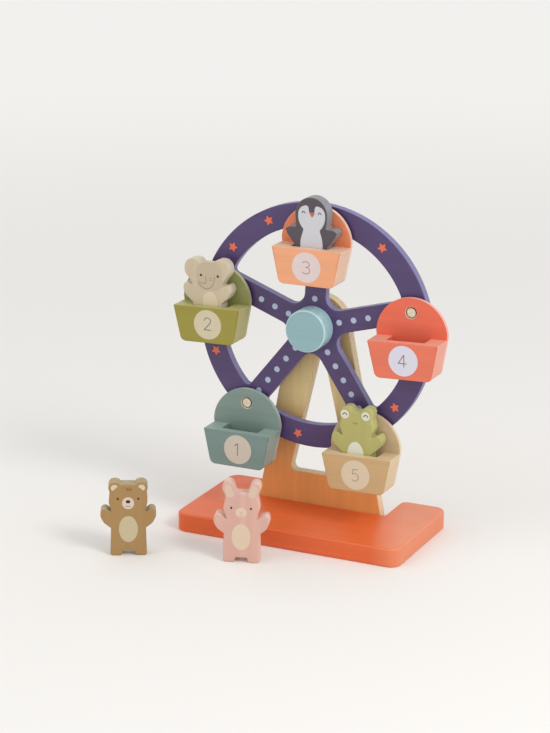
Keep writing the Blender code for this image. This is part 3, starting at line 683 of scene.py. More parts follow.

# %% [markdown]
# The wheel is one board too: rim, spokes and hub are what is left between five windows. Each window
# has a large fillet where two spokes meet at the hub. One window's line is worked out from the spoke
# beside it, so that the five are alike. The wheel is painted a dark indigo, and its sawn edges are a
# paler lilac, which is a painted highlight where they face the light.

# %% Wheel
WHEEL_RADIUS, WHEEL_THICKNESS, WHEEL_EDGE, WHEEL_FRONT_Y = 0.100, 0.0082, 0.0008, -0.0008
RIM_INSIDE, RIM_FILLET = 0.081, 0.0035
HALF_SPOKE, SPOKE_FILLET = 0.009, 0.0102
SPOKE_STEP = math.radians(72)
REST_TURN = math.radians(-2.7)
PEG_CIRCLE_RADIUS, PEG_BORE_RADIUS = 0.0884, 0.0028
STEPS_FROM_TOP = {3: 0, 2: 1, 1: 2, 5: 3, 4: 4}


def spoke_angle(number):
    """The direction of the spoke that carries a bucket."""
    return math.pi / 2 + REST_TURN + STEPS_FROM_TOP[number] * SPOKE_STEP


def peg_place(number):
    """The x and z of a bucket's peg, from the hub."""
    return around(PEG_CIRCLE_RADIUS, spoke_angle(number))


def wheel_window(angle):
    """The saw line of one window, between a spoke and the next."""
    reach = math.asin(HALF_SPOKE / RIM_INSIDE)
    start, end = angle + reach, angle + SPOKE_STEP - reach
    margin = 2 * RIM_FILLET / RIM_INSIDE
    meeting = around(HALF_SPOKE / math.sin(SPOKE_STEP / 2), angle + SPOKE_STEP / 2)
    return saw_line([
        (*meeting, SPOKE_FILLET),
        (*around(RIM_INSIDE, start), RIM_FILLET),
        *arc(0, 0, RIM_INSIDE, start + margin, end - margin, 24),
        (*around(RIM_INSIDE, end), RIM_FILLET),
    ])


indigo = paint("indigo_paint", (0.31, 0.24, 0.42), roughness=0.38, streaks=0.04, clouds=0.05)
# The edges' paler colour is a painted highlight.
indigo_edge_highlight = paint("indigo_paint_edge_highlight", (0.49, 0.47, 0.65), grain="Y", roughness=0.45, streaks=0.05)
wheel_lines = [ring_line(0, 0, WHEEL_RADIUS, 160)] + [wheel_window(spoke_angle(k)) for k in STEPS_FROM_TOP]
wheel_lines += [axle_bore] + [ring_line(*peg_place(k), PEG_BORE_RADIUS, 24) for k in STEPS_FROM_TOP]
wheel = saw("wheel_board", wheel_lines, WHEEL_THICKNESS, WHEEL_EDGE, indigo, indigo_edge_highlight)
put(wheel, at(0, WHEEL_FRONT_Y + WHEEL_THICKNESS / 2, HUB_HEIGHT) @ STAND_UP)
smooth(wheel)
finish(wheel, "spinner", "indigo_paint", "wheel")

# %% [markdown]
# Dots are printed along the spokes and stars on the rim, with a pad. A print is a coat of ink, far
# thinner than a hair, but it has an edge. So each one is a very thin board that lies on the paint. A
# pattern in the paint could show them too, but its outlines would never be as sharp.

# %% Prints on the wheel
INK_THICKNESS, INK_EDGE = 0.00008, 0.00002
DOT_RADIUS = 0.0024
FIRST_DOT, DOT_STEP, DOT_COUNT = 0.0231, 0.01273, 5
LOWER_LEFT_SHIFT = 0.0016
STAR_CIRCLE = 0.091
STAR_CORNERS = ((0.0046, 0.0005), (0.0021, 0.0004))
STAR_ANGLES = (118.4, 143.8, 53.4, -36.1, -95.1, -157.8, 78.8, -10.7, -69.7, 176.8)


def ink_shape(name, line, material):
    """A filled shape of ink."""
    return saw(name, [line], INK_THICKNESS, INK_EDGE, material, steps=0)


def join(pieces, name):
    """Join pieces into one object."""
    bpy.ops.object.select_all(action="DESELECT")
    for piece in pieces:
        piece.select_set(True)
    bpy.context.view_layer.objects.active = pieces[0]
    bpy.ops.object.join()
    bpy.context.object.name = name
    return bpy.context.object


def star_line(x, y, turn):
    """A five-pointed star with soft points."""
    corners = []
    for k in range(10):
        radius, rounding = STAR_CORNERS[k % 2]
        corners.append((*around(radius, turn + k * math.pi / 5, x, y), rounding))
    return saw_line(corners)


pale_blue = ink("pale_blue_ink", (0.69, 0.74, 0.83))
star_orange = ink("orange_ink", (0.90, 0.42, 0.28))
dots = []
for number in STEPS_FROM_TOP:
    first = FIRST_DOT + (LOWER_LEFT_SHIFT if number == 1 else 0)
    for k in range(DOT_COUNT):
        middle = around(first + k * DOT_STEP, spoke_angle(number))
        dots.append(ink_shape("dot", ring_line(*middle, DOT_RADIUS, 24), pale_blue))
stars = []
for degrees in STAR_ANGLES:
    angle = math.radians(degrees) + REST_TURN
    stars.append(ink_shape("star", star_line(*around(STAR_CIRCLE, angle), angle), star_orange))
for prints, name in ((dots, "wheel_dots"), (stars, "wheel_stars")):
    printed = join(prints, name)
    put(printed, at(0, WHEEL_FRONT_Y - INK_THICKNESS / 4, HUB_HEIGHT) @ STAND_UP)
    finish(printed, "spinner", "indigo_paint")

# %% [markdown]
# What turns on the axle is round, as a lathe leaves it. A profile could be spun, but these pieces have
# few steps, so each starts as a cylinder whose end faces are inset, pushed and bevelled.

# %% Tools for turned pieces
def rod(name, radius, front_y, back_y, x=0.0, z=0.0, steps=96):
    """A cylinder along Y, from its front to its back."""
    piece = add_primitive(
        bpy.ops.mesh.primitive_cylinder_add, name, vertices=steps, radius=radius, depth=back_y - front_y,
        location=(x, (front_y + back_y) / 2, z), rotation=(math.radians(90), 0, 0))
    bpy.ops.object.transform_apply()
    return piece


def is_end(y, direction):
    """A test for the flat face at a place on Y that faces front (-1) or back (1)."""
    return lambda centre, normal: abs(centre.y - y) < NEAR and normal.y * direction > 0.99


def is_side(centre, normal):
    """True for the faces round the side of a turned piece."""
    return abs(normal.y) < 0.2


def extrude(*way):
    """Extrude what is selected."""
    bpy.ops.mesh.extrude_region_move(TRANSFORM_OT_translate={"value": way})


def step_in(piece, y, direction, inset, depth):
    """Inset an end's face and push it: a positive depth makes a socket, a negative one a shank."""
    select_where(piece, "FACE", is_end(y, direction))
    bpy.ops.mesh.inset(thickness=inset)
    extrude(0, -direction * depth, 0)
    bpy.ops.object.mode_set(mode="OBJECT")


def ease_end(piece, y, direction, edge, segments):
    """Round the rim of an end."""
    select_where(piece, "FACE", is_end(y, direction))
    bpy.ops.mesh.region_to_loop()
    bpy.ops.mesh.bevel(offset=edge, segments=segments, affect="EDGES", profile=0.5)
    bpy.ops.object.mode_set(mode="OBJECT")


print("tools for turned pieces")

# %% [markdown]
# The knob has a socket in its back for the axle. Its front edge is rounded, and the paint there is
# paler, a painted highlight; its side is paler too, a painted sheen. The cap behind the upright is the
# same kind of piece in bare wood. Between wheel and upright a ring keeps them apart: both ends of a
# rod are inset and bridged, which bores it through.

# %% Knob, spacer and rear cap
KNOB_RADIUS, KNOB_FRONT_Y, KNOB_BACK_Y = 0.0172, -0.0166, -0.0011
KNOB_SOCKET, KNOB_EDGE = 0.008, 0.0014
SPACER_RADIUS, SPACER_FRONT_Y, SPACER_BACK_Y, SPACER_EDGE = 0.0135, 0.0077, 0.0145, 0.0003
CAP_RADIUS, CAP_FRONT_Y, CAP_BACK_Y = 0.012, 0.0254, 0.0354
CAP_SOCKET, CAP_EDGE = 0.007, 0.002

teal = paint("teal_paint", (0.55, 0.69, 0.71), roughness=0.28, streaks=0.015, clouds=0.02)
# The side's paler colour is a painted sheen, and the rim's a painted highlight.
teal_side_sheen = paint("teal_paint_side_sheen", (0.65, 0.80, 0.82), roughness=0.28, streaks=0.005, clouds=0.01)
teal_rim_highlight = paint("teal_paint_rim_highlight", (0.72, 0.85, 0.87), roughness=0.24, streaks=0.02, clouds=0.04)
turned_wood = bare_wood("dowel_wood", (0.86, 0.74, 0.54), grain="Y", streaks=0.10)

knob = rod("knob", KNOB_RADIUS, KNOB_FRONT_Y, KNOB_BACK_Y, z=HUB_HEIGHT)
step_in(knob, KNOB_BACK_Y, 1, KNOB_RADIUS - BORE_RADIUS, KNOB_SOCKET)
ease_end(knob, KNOB_FRONT_Y, -1, KNOB_EDGE, 6)
give_material(knob, teal)
give_material(knob, teal_side_sheen, is_side)
give_material(knob, teal_rim_highlight, lambda centre, normal: -0.97 < normal.y < -0.2)
smooth(knob)
finish(knob, "spinner", "teal_paint", "hub_knob")

spacer = rod("spacer", SPACER_RADIUS, SPACER_FRONT_Y, SPACER_BACK_Y, z=HUB_HEIGHT)
select_where(spacer, "FACE", lambda centre, normal: abs(normal.y) > 0.99)
bpy.ops.mesh.inset(thickness=SPACER_RADIUS - BORE_RADIUS)
bpy.ops.mesh.bridge_edge_loops()
bpy.ops.object.mode_set(mode="OBJECT")
give_material(spacer, turned_wood)
apply_modifier(spacer, "BEVEL", width=SPACER_EDGE, segments=2, limit_method="ANGLE",
               angle_limit=math.radians(50))
smooth(spacer)
finish(spacer, "spinner", "dowel_wood", "hub_spacer")

rear_cap = rod("rear_cap_turned", CAP_RADIUS, CAP_FRONT_Y, CAP_BACK_Y, z=HUB_HEIGHT)
step_in(rear_cap, CAP_FRONT_Y, -1, CAP_RADIUS - BORE_RADIUS, CAP_SOCKET)
ease_end(rear_cap, CAP_BACK_Y, 1, CAP_EDGE, 6)
give_material(rear_cap, turned_wood)
smooth(rear_cap)
finish(rear_cap, "spinner", "dowel_wood", "rear_cap")

# %% [markdown]
# The axle is a dowel, and the washers are nylon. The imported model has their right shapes, and they
# hardly show, so they aren't modelled again: they stay, and get a finish of their own.

# %% Axle and washers
nylon = even_coat("nylon", 0.45, 700.0, (0.90, 0.89, 0.86), (0.94, 0.93, 0.90), 0.1)
kept_nodes = {"axle": turned_wood, "rear_washer": nylon}
kept_nodes.update({f"pivot_washer_{k}": nylon for k in STEPS_FROM_TOP})
for node, material in kept_nodes.items():
    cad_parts[node].material_slots[0].material = material
print("kept", ", ".join(kept_nodes))

# %% [markdown]
# Two countersunk screws hold the upright from behind. Only their heads show, each in a seat that a
# cylinder cuts into the upright: a cone of steel with a cross recess that two crossed bars cut out.
# The shank is plain, because its thread is in the wood.

# %% Screws
SCREW_X, SCREW_Z = 0.036, BASE_THICKNESS / 2
SCREW_HEAD_Y, SCREW_TIP_Y = 0.0235, 0.0021
SCREW_HEAD_RADIUS, SCREW_HEAD_DEPTH, SCREW_GAP = 0.0037, 0.0022, 0.0003
SCREW_SHANK_RADIUS, SCREW_POINT = 0.00175, 0.003
POINT_SHARE = 0.15
CROSS_LENGTH, CROSS_DEPTH, CROSS_WIDTH = 0.0036, 0.003, 0.0008


def cut_away(piece, cutter):
    """Take a cutter's shape out of a piece, and remove the cutter."""
    apply_modifier(piece, "BOOLEAN", operation="DIFFERENCE", solver="EXACT", object=cutter)
    bpy.data.objects.remove(cutter)


def bar(size, place):
    """A block that cuts a slot or a pocket."""
    block = add_primitive(bpy.ops.mesh.primitive_cube_add, "bar", size=1, location=place)
    block.scale = size
    bpy.ops.object.transform_apply()
    return block


def narrow(share):
    """Scale what is selected across Y."""
    bpy.ops.transform.resize(value=(share, 1, share))


steel = even_coat("screw_steel", 0.35, 2500.0, (0.72, 0.72, 0.71), (0.82, 0.82, 0.81), 0.15, metallic=1.0)
for side, name in ((-1, "left"), (1, "right")):
    x, front_y = side * SCREW_X, SCREW_HEAD_Y - SCREW_HEAD_DEPTH
    cut_away(upright, rod("seat", SCREW_HEAD_RADIUS + SCREW_GAP, front_y,
                          UPRIGHT_FRONT_Y + 2 * UPRIGHT_THICKNESS, x, SCREW_Z, steps=48))
    screw = rod(f"screw_{name}", SCREW_HEAD_RADIUS, front_y, SCREW_HEAD_Y, x, SCREW_Z, steps=48)
    select_where(screw, "FACE", is_end(front_y, -1))
    narrow(SCREW_SHANK_RADIUS / SCREW_HEAD_RADIUS)
    extrude(0, SCREW_TIP_Y + SCREW_POINT - front_y, 0)
    extrude(0, -SCREW_POINT, 0)
    narrow(POINT_SHARE)
    bpy.ops.object.mode_set(mode="OBJECT")
    for size in ((CROSS_LENGTH, CROSS_DEPTH, CROSS_WIDTH), (CROSS_WIDTH, CROSS_DEPTH, CROSS_LENGTH)):
        cut_away(screw, bar(size, (x, SCREW_HEAD_Y, SCREW_Z)))
    give_material(screw, steel)
    smooth(screw)
    finish(screw, "stand", "screw_steel", f"upright_screw_{name}")
smooth(upright)

# %% [markdown]
# A bucket hangs from a peg. The peg is a short dowel with a head, glued into the rim. Its head sits in a
# recess, so that nothing stands proud of the panel. The side of the head is painted dark, a painted
# shadow in the gap around it, and shows as a dark line there. One loop makes the five pegs, because
# only their places differ.

# %% Pegs
PEG_HEAD_RADIUS, PEG_SHANK_RADIUS, PEG_EDGE = 0.0036, 0.0025, 0.0003
PEG_FRONT_Y, PEG_SEAT_Y, PEG_END_Y = -0.0066, -0.0045, 0.0071

peg_wood = bare_wood("peg_wood", (0.92, 0.88, 0.79), grain="Y", roughness=0.4, streaks=0.04)
# The head's dark side is a painted shadow.
peg_side_shadow = bare_wood("peg_side_shadow", (0.20, 0.14, 0.13), grain="Y", roughness=0.7, streaks=0.05)
for number in STEPS_FROM_TOP:
    x, z = peg_place(number)
    peg = rod(f"peg_{number}", PEG_HEAD_RADIUS, PEG_FRONT_Y, PEG_SEAT_Y, x, HUB_HEIGHT + z, steps=48)
    step_in(peg, PEG_SEAT_Y, 1, PEG_HEAD_RADIUS - PEG_SHANK_RADIUS, PEG_SEAT_Y - PEG_END_Y)
    ease_end(peg, PEG_FRONT_Y, -1, PEG_EDGE, 3)
    give_material(peg, peg_wood)
    give_material(peg, peg_side_shadow, lambda centre, normal: is_side(centre, normal) and centre.y < PEG_SEAT_Y)
    smooth(peg)
    finish(peg, "spinner", "dowel_wood", f"pivot_peg_{number}")

# %% [markdown]
# A bucket is two boards glued together: a round-topped panel and a thick tub with a pocket cut down into
# it. The tub reaches a little way into the panel, so its sides and the panel's meet in one line, as two
# boards do that are sanded flush after gluing. The peg's recess is bored after the panel is painted, so
# its wall shows pale bare wood. Recess and pocket are cut by booleans with a cutter of their own shape,
# as a bit cuts them. Panel and tub are modelled once, and copied for the five buckets.

# %% Bucket panel and tub
PANEL_THICKNESS, PANEL_FRONT_Y, PANEL_EDGE = 0.004, -0.0069, 0.0006
PANEL_RADIUS, PANEL_DROP, PANEL_BORE_RADIUS = 0.0297, 0.0179, 0.0029
ROUND_START = math.radians(3)
TUB_DEPTH, TUB_FRONT_Y, TUB_EDGE = 0.0206, -0.0262, 0.0007
TUB_TOP, TUB_BOTTOM = -0.0195, -0.0487
TUB_TOP_HALF, TUB_BOTTOM_HALF = 0.0293, 0.0232
TUB_CORNER, TUB_TOP_CORNER = 0.005, 0.0005
POCKET_HALF, POCKET_FLOOR, FRONT_WALL = 0.0158, -0.0412, 0.0065
POCKET_CORNER, POCKET_RIM, POCKET_OVERRUN = 0.0012, 0.0004, 0.004
POCKET_FRONT = TUB_DEPTH / 2 - FRONT_WALL
RECESS_RADIUS, RECESS_DEPTH, RECESS_CHAMFER = 0.0047, 0.0027, 0.00025
FLUSH = 0.00003


def panel_line():
    """A round top that runs into the sides of the tub, which it is flush with."""
    slope = (TUB_TOP_HALF - TUB_BOTTOM_HALF) / (TUB_TOP - TUB_BOTTOM)
    round_x, round_y = around(PANEL_RADIUS, ROUND_START, 0, -PANEL_DROP)
    meeting = min(round_x, TUB_TOP_HALF + FLUSH + (round_y - TUB_TOP) * slope)
    half = [
        (0.0, TUB_BOTTOM - FLUSH, 0.0), (TUB_BOTTOM_HALF + FLUSH, TUB_BOTTOM - FLUSH, TUB_CORNER),
        (TUB_TOP_HALF + FLUSH, TUB_TOP, 0.0), (meeting, round_y, 0.0)]
    half += arc(0, -PANEL_DROP, PANEL_RADIUS, 2 * ROUND_START, math.pi / 2, 26)
    half[-1] = (0.0, PANEL_RADIUS - PANEL_DROP, 0.0)
    return saw_line(both_sides(half))


def recess_bit():
    """A cutter for the peg's recess, wider at its mouth."""
    middle = (PANEL_THICKNESS - RECESS_DEPTH - RECESS_CHAMFER) / 2
    bit = add_primitive(bpy.ops.mesh.primitive_cylinder_add, "bit", vertices=48, radius=RECESS_RADIUS,
                        depth=RECESS_DEPTH - RECESS_CHAMFER, location=(0, 0, middle))
    bpy.ops.object.transform_apply()
    select_where(bit, "FACE", lambda centre, normal: normal.z > 0.99)
    extrude(0, 0, 2 * RECESS_CHAMFER)
    widening = (RECESS_RADIUS + 2 * RECESS_CHAMFER) / RECESS_RADIUS
    bpy.ops.transform.resize(value=(widening, widening, 1))
    bpy.ops.object.mode_set(mode="OBJECT")
    return bit


def pocket_block():
    """A cutter for the tub's pocket, open at the top and the back, with round inner corners."""
    back = -TUB_DEPTH / 2 - POCKET_OVERRUN
    height = TUB_TOP + POCKET_OVERRUN - POCKET_FLOOR
    block = bar((2 * POCKET_HALF, height, POCKET_FRONT - back),
                (0, POCKET_FLOOR + height / 2, (POCKET_FRONT + back) / 2))
    select_where(block, "EDGE", lambda a, b: abs(a.x - b.x) < NEAR and abs(a.z - b.z) < NEAR and a.z > 0)
    bpy.ops.mesh.bevel(offset=POCKET_CORNER, segments=5, affect="EDGES")
    bpy.ops.object.mode_set(mode="OBJECT")
    return block


def on_pocket_rim(a, b):
    """True for an edge of the pocket's mouth."""
    at_mouth = all(abs(p.y - TUB_TOP) < NEAR and abs(p.x) < POCKET_HALF + NEAR
                   and p.z < POCKET_FRONT + NEAR for p in (a, b))
    return at_mouth and max(a.z, b.z) >= -TUB_DEPTH / 2 + 10 * NEAR


def is_recess(centre, normal):
    """True for the faces of the peg's recess and its chamfer."""
    return math.hypot(centre.x, centre.y) < RECESS_RADIUS + RECESS_CHAMFER and (
        normal.z < 0.99 or centre.z < PANEL_THICKNESS / 2 - RECESS_CHAMFER)


bare_rim = bare_wood("bare_rim", (0.93, 0.85, 0.75), grain="X", streaks=0.05)
blank, blank_edge = (start_material(name, 0.5)[0] for name in ("blank", "blank_edge"))
panel_master = saw("panel_master", [panel_line(), ring_line(0, 0, PANEL_BORE_RADIUS, 32)], PANEL_THICKNESS,
                   PANEL_EDGE, blank, blank_edge)
cut_away(panel_master, recess_bit())
give_material(panel_master, bare_rim, is_recess)
smooth(panel_master)
tub_line = saw_line(both_sides([
    (0.0, TUB_BOTTOM, 0.0), (TUB_BOTTOM_HALF, TUB_BOTTOM, TUB_CORNER),
    (TUB_TOP_HALF, TUB_TOP, TUB_TOP_CORNER), (0.0, TUB_TOP, 0.0),
]))
tub_master = saw("tub_master", [tub_line], TUB_DEPTH, TUB_EDGE, blank, blank_edge)
cut_away(tub_master, pocket_block())
select_where(tub_master, "EDGE", on_pocket_rim)
bpy.ops.mesh.bevel(offset=POCKET_RIM, segments=2, affect="EDGES", clamp_overlap=False)
bpy.ops.object.mode_set(mode="OBJECT")
smooth(tub_master)
print("panel", len(panel_master.data.polygons), "faces, tub", len(tub_master.data.polygons))

# %% [markdown]
# The five buckets are copies, each with its own mesh and colours. In the photograph a bucket's panel and
# tub differ a little in shade, where the light falls on them differently, so each has a paint of its own:
# the difference is painted shade. The tub's sawn sides are paler, a painted sheen, and the panel's eased
# edge whiter still, a painted highlight. Every bucket hangs a little differently, as buckets on loose
# pegs do.

# %% Five buckets
BUCKET_LEANS = {k: math.radians(d) for k, d in {1: 0.2, 2: 1.6, 3: 0.3, 4: 2.2, 5: 1.3}.items()}
EDGE_HIGHLIGHT_WHITE = 0.2
# Each row: colour name, tub paint, panel paint with painted shade, edge paint with painted sheen, badge
# ink.
BUCKET_COLOURS = {
    1: ("sage", (0.47, 0.56, 0.54), (0.49, 0.57, 0.54), (0.58, 0.66, 0.63), (0.80, 0.76, 0.70)),
    2: ("olive", (0.59, 0.55, 0.21), (0.55, 0.57, 0.33), (0.71, 0.69, 0.45), (0.80, 0.76, 0.64)),
    3: ("peach", (0.92, 0.64, 0.47), (0.91, 0.53, 0.36), (0.93, 0.77, 0.66), (0.86, 0.79, 0.78)),
    4: ("coral", (0.89, 0.45, 0.34), (0.90, 0.41, 0.30), (0.91, 0.62, 0.54), (0.84, 0.83, 0.88)),
    5: ("tan", (0.79, 0.65, 0.46), (0.77, 0.67, 0.53), (0.86, 0.77, 0.62), (0.84, 0.77, 0.66)),
}


def bucket_place(number):
    """The place of a bucket: its peg's axis, with the bucket's lean."""
    x, z = peg_place(number)
    return at(x, 0, HUB_HEIGHT + z, BUCKET_LEANS[number])


def copy_of(master, name, *materials):
    """A copy of a piece with its own mesh and its own materials."""
    piece = master.copy()
    piece.data = master.data.copy()
    piece.name = name
    bpy.context.scene.collection.objects.link(piece)
    for index, material in enumerate(materials):
        piece.data.materials[index] = material
    return piece


def to_front(y):
    """The place of a flat piece that stands upright at y."""
    return Matrix.Translation((0, y, 0)) @ STAND_UP


for number, (colour_name, tub_colour, panel_shade_colour, edge, _) in BUCKET_COLOURS.items():
    slot, bucket, place = f"{colour_name}_paint", f"bucket_{number}", bucket_place(number)
    paint_tub = paint(slot, tub_colour)
    # The panel's own shade of the tub's paint is painted shade.
    paint_panel_shade = paint(f"{slot}_panel", panel_shade_colour)
    # The tub's paler edge paint is a painted sheen, and the panel's whiter edge a painted highlight.
    paint_edge = paint(f"{slot}_edge", edge, roughness=0.48, streaks=0.015)
    highlight_paint = tuple(value + (1 - value) * EDGE_HIGHLIGHT_WHITE for value in edge)
    panel_edge_highlight = paint(f"{slot}_panel_edge_highlight", highlight_paint, roughness=0.4, streaks=0.015)
    panel = copy_of(panel_master, f"{bucket}_panel", paint_panel_shade, panel_edge_highlight, bare_rim)
    put(panel, place @ to_front(PANEL_FRONT_Y + PANEL_THICKNESS / 2))
    finish(panel, bucket, slot, f"bucket_panel_{number}")
    tub = copy_of(tub_master, f"{bucket}_tub", paint_tub, paint_edge)
    put(tub, place @ to_front(TUB_FRONT_Y + TUB_DEPTH / 2))
    finish(tub, bucket, slot, f"bucket_tub_{number}")
bpy.data.objects.remove(panel_master)
bpy.data.objects.remove(tub_master)

# %% [markdown]
# Numbers, faces and bellies are printed. A filled shape is a thin disc of ink, drawn as an oval or
# through a few points. A line, such as a smile or a part of a number, is a pen stroke: a curve with a
# nib, pressed flat. Letters of a font would give the numbers too, but not these plain round ones.

# %% Tools for prints
STROKE_STEPS = 6


def oval(u, z, half_width, half_height, steps=40):
    """A closed oval, in millimetres."""
    return [((u + half_width * math.cos(a)) / 1000, (z + half_height * math.sin(a)) / 1000)
            for a in (2 * math.pi * k / steps for k in range(steps))]


def through(points, closed=True):
    """A smooth line through points in millimetres."""
    count = len(points)
    line = []
    for i in range(count if closed else count - 1):
        p0, p1, p2, p3 = (
            Vector(points[(i + k) % count] if closed else points[min(max(i + k, 0), count - 1)])
            for k in (-1, 0, 1, 2))
        for step in range(STROKE_STEPS):
            t = step / STROKE_STEPS
            point = 0.5 * (2 * p1 + (p2 - p0) * t + (2 * p0 - 5 * p1 + 4 * p2 - p3) * t * t
                           + (3 * p1 - p0 - 3 * p2 + p3) * t ** 3)
            line.append(tuple(point / 1000))
    return line if closed else line + [tuple(Vector(points[-1]) / 1000)]


def on_layer(shape, layer):
    """Lay a print on the prints below it."""
    return put(shape, Matrix.Translation((0, 0, layer * INK_THICKNESS / 2)))


def filled(line, material, layer=0):
    """A filled shape of ink."""
    return on_layer(ink_shape("print", line, material), layer)


def pen_stroke(points, width, material, layer=1):
    """A line of ink through points in millimetres."""
    curve = add_primitive(bpy.ops.curve.primitive_bezier_curve_add, "stroke").data
    curve.splines.clear()
    draw(curve, through(points, closed=False), closed=False)
    curve.dimensions = "3D"
    curve.bevel_depth = width / 2000
    curve.bevel_resolution = 3
    curve.use_fill_caps = True
    bpy.ops.object.convert(target="MESH")
    stroke = bpy.context.object
    stroke.scale.z = INK_THICKNESS / (width / 1000)
    give_material(stroke, material)
    return on_layer(stroke, layer)


def mirrored(points):
    """The same points on the other side of the middle."""
    return [(-u, z) for u, z in points]


print("tools for prints")

# %% [markdown]
# Each bucket has its number in a pale round badge. The badge is a disc of ink like the wheel's dots, and
# the number on it is drawn with a few pen strokes of even width, as numbers for small children are. The
# strokes' points are in millimetres from the badge's middle. No two badges sit in quite the same place.

# %% Numbers and badges
BADGE_RADIUS, BADGE_DROP = 0.0121, 0.0338
BADGE_SHIFTS = {
    1: (0.0013, 0), 2: (0.001, 0.0004), 3: (0.0004, 0), 4: (0.0006, 0.0003), 5: (-0.0003, -0.0007)}
NUMBER_WIDTH = 0.8
PALE_NUMBERS = (3, 5)
NUMBER_STROKES = {
    1: [[(-2.8, 3.1), (0, 5)], [(0, 5.2), (0, -5)]],
    2: [[(-3, 3.1), (-1.9, 5), (0, 5.6), (2, 5), (2.8, 3.3), (1.9, 1), (-0.6, -1.8), (-3, -4.2)],
        [(-3.3, -4.3), (3.1, -4.3)]],
    3: [[(-3, 3.2), (-2.2, 4.2), (-0.3, 4.6), (1.8, 4.1), (2.7, 2.6), (1.9, 1), (0, 0.2)],
        [(-0.5, 0.2), (0.6, 0.1), (2.2, -0.4), (3.2, -2.2), (2.2, -4.2), (0, -5), (-2.2, -4.6),
         (-3.3, -3.6)]],
    4: [[(0.8, 5.1), (-4, -2)], [(-4.3, -2), (3, -2)], [(0.7, 4.9), (0.7, -4.8)]],
    5: [[(2.5, 4.5), (-2.1, 4.5)], [(-1.9, 4.6), (-2.4, 0.4)],
        [(-2.5, 0.6), (-0.6, 1.3), (1.7, 0.6), (2.6, -1.7), (1.5, -4.2), (-0.4, -5), (-2.9, -4.1)]],
}
number_ink = ink("number_ink", (0.52, 0.44, 0.42))
pale_number_ink = ink("pale_number_ink", (0.66, 0.57, 0.53))
for number, (colour_name, *_, badge) in BUCKET_COLOURS.items():
    badge_ink = ink(f"{colour_name}_badge_ink", badge)
    disc = ink_shape(f"bucket_{number}_badge", ring_line(0, 0, BADGE_RADIUS, 64), badge_ink)
    print_colour = pale_number_ink if number in PALE_NUMBERS else number_ink
    strokes = [pen_stroke(points, NUMBER_WIDTH, print_colour) for points in NUMBER_STROKES[number]]
    shift_x, shift_z = BADGE_SHIFTS[number]
    middle = Matrix.Translation((shift_x, shift_z - BADGE_DROP, 0))
    for printed in (disc, join(strokes, f"bucket_{number}_number")):
        put(printed, bucket_place(number) @ to_front(TUB_FRONT_Y - INK_THICKNESS / 4) @ middle)
        finish(printed, f"bucket_{number}", f"{colour_name}_paint")

# %% [markdown]
# The five animals are sawn from a 12 mm board along one kind of line: two feet with a notch between
# them, a straight body, raised arms and a head. Only the upper half differs. Each row of a table is one
# corner, as the share of half the arms' span, the share of the height, and the radius as a share of the
# height. Shares keep an animal's look when its size changes.

# %% Figures' outlines
FIGURE_HEIGHT, HALF_SPAN = 0.061, 0.022
FIGURE_THICKNESS, FIGURE_EDGE = 0.012, 0.0009
WIDE_BODY, SLIM_BODY = 0.0143, 0.0128
FEET_NOTCH, NOTCH_TOP_HALF, NOTCH_FOOT_HALF = 0.0042, 0.0043, 0.0056
FEET_CORNER, SOLE_CORNER = 0.0006, 0.0018
BEAR_SHARES = (
    (0.617, 0.372, 0.014), (0.875, 0.443, 0.130), (0.997, 0.535, 0.090), (0.955, 0.635, 0.050),
    (0.760, 0.632, 0.050), (0.582, 0.578, 0.010), (0.692, 0.722, 0.150), (0.648, 0.850, 0.020),
    (0.702, 0.915, 0.080), (0.656, 0.998, 0.075), (0.320, 0.992, 0.062), (0.262, 0.958, 0.018),
    (0.0, 0.961, 0.0),
)
RABBIT_SHARES = (
    (0.625, 0.385, 0.014), (0.875, 0.450, 0.130), (1.005, 0.545, 0.090), (0.945, 0.655, 0.048),
    (0.720, 0.630, 0.050), (0.485, 0.556, 0.010), (0.650, 0.715, 0.160), (0.560, 0.885, 0.050),
    (0.705, 0.998, 0.110), (0.618, 1.078, 0.066), (0.352, 1.080, 0.066), (0.216, 0.938, 0.020),
    (0.0, 0.930, 0.0),
)
PENGUIN_SHARES = (
    (0.622, 0.372, 0.050), (0.920, 0.503, 0.060), (0.995, 0.572, 0.014), (0.820, 0.603, 0.060),
    (0.565, 0.604, 0.020), (0.613, 0.740, 0.140), (0.613, 1.000, 0.222), (0.0, 1.000, 0.0),
)
ELEPHANT_SHARES = (
    (0.580, 0.380, 0.014), (0.850, 0.467, 0.130), (0.967, 0.552, 0.080), (0.890, 0.652, 0.040),
    (0.536, 0.602, 0.012), (0.689, 0.690, 0.060), (0.893, 0.780, 0.110), (0.862, 0.966, 0.120),
    (0.370, 0.966, 0.075), (0.262, 0.912, 0.030), (0.0, 0.911, 0.0),
)
FROG_SHARES = (
    (0.566, 0.352, 0.014), (0.860, 0.452, 0.130), (0.975, 0.536, 0.080), (0.885, 0.640, 0.044),
    (0.515, 0.572, 0.012), (0.650, 0.700, 0.120), (0.572, 0.820, 0.050), (0.612, 0.900, 0.050),
    (0.575, 0.972, 0.070), (0.225, 0.968, 0.066), (0.160, 0.912, 0.030), (0.0, 0.910, 0.0),
)


def figure_line(shares, body):
    """The saw line of a figure that stands on its feet at the origin."""
    half = [(0.0, FEET_NOTCH, 0.0), (NOTCH_TOP_HALF, FEET_NOTCH, FEET_CORNER),
            (NOTCH_FOOT_HALF, 0.0, FEET_CORNER), (body, 0.0, SOLE_CORNER)]
    half += [(x * HALF_SPAN, z * FIGURE_HEIGHT, radius * FIGURE_HEIGHT) for x, z, radius in shares]
    return saw_line(both_sides(half))


print("outlines of five figures")

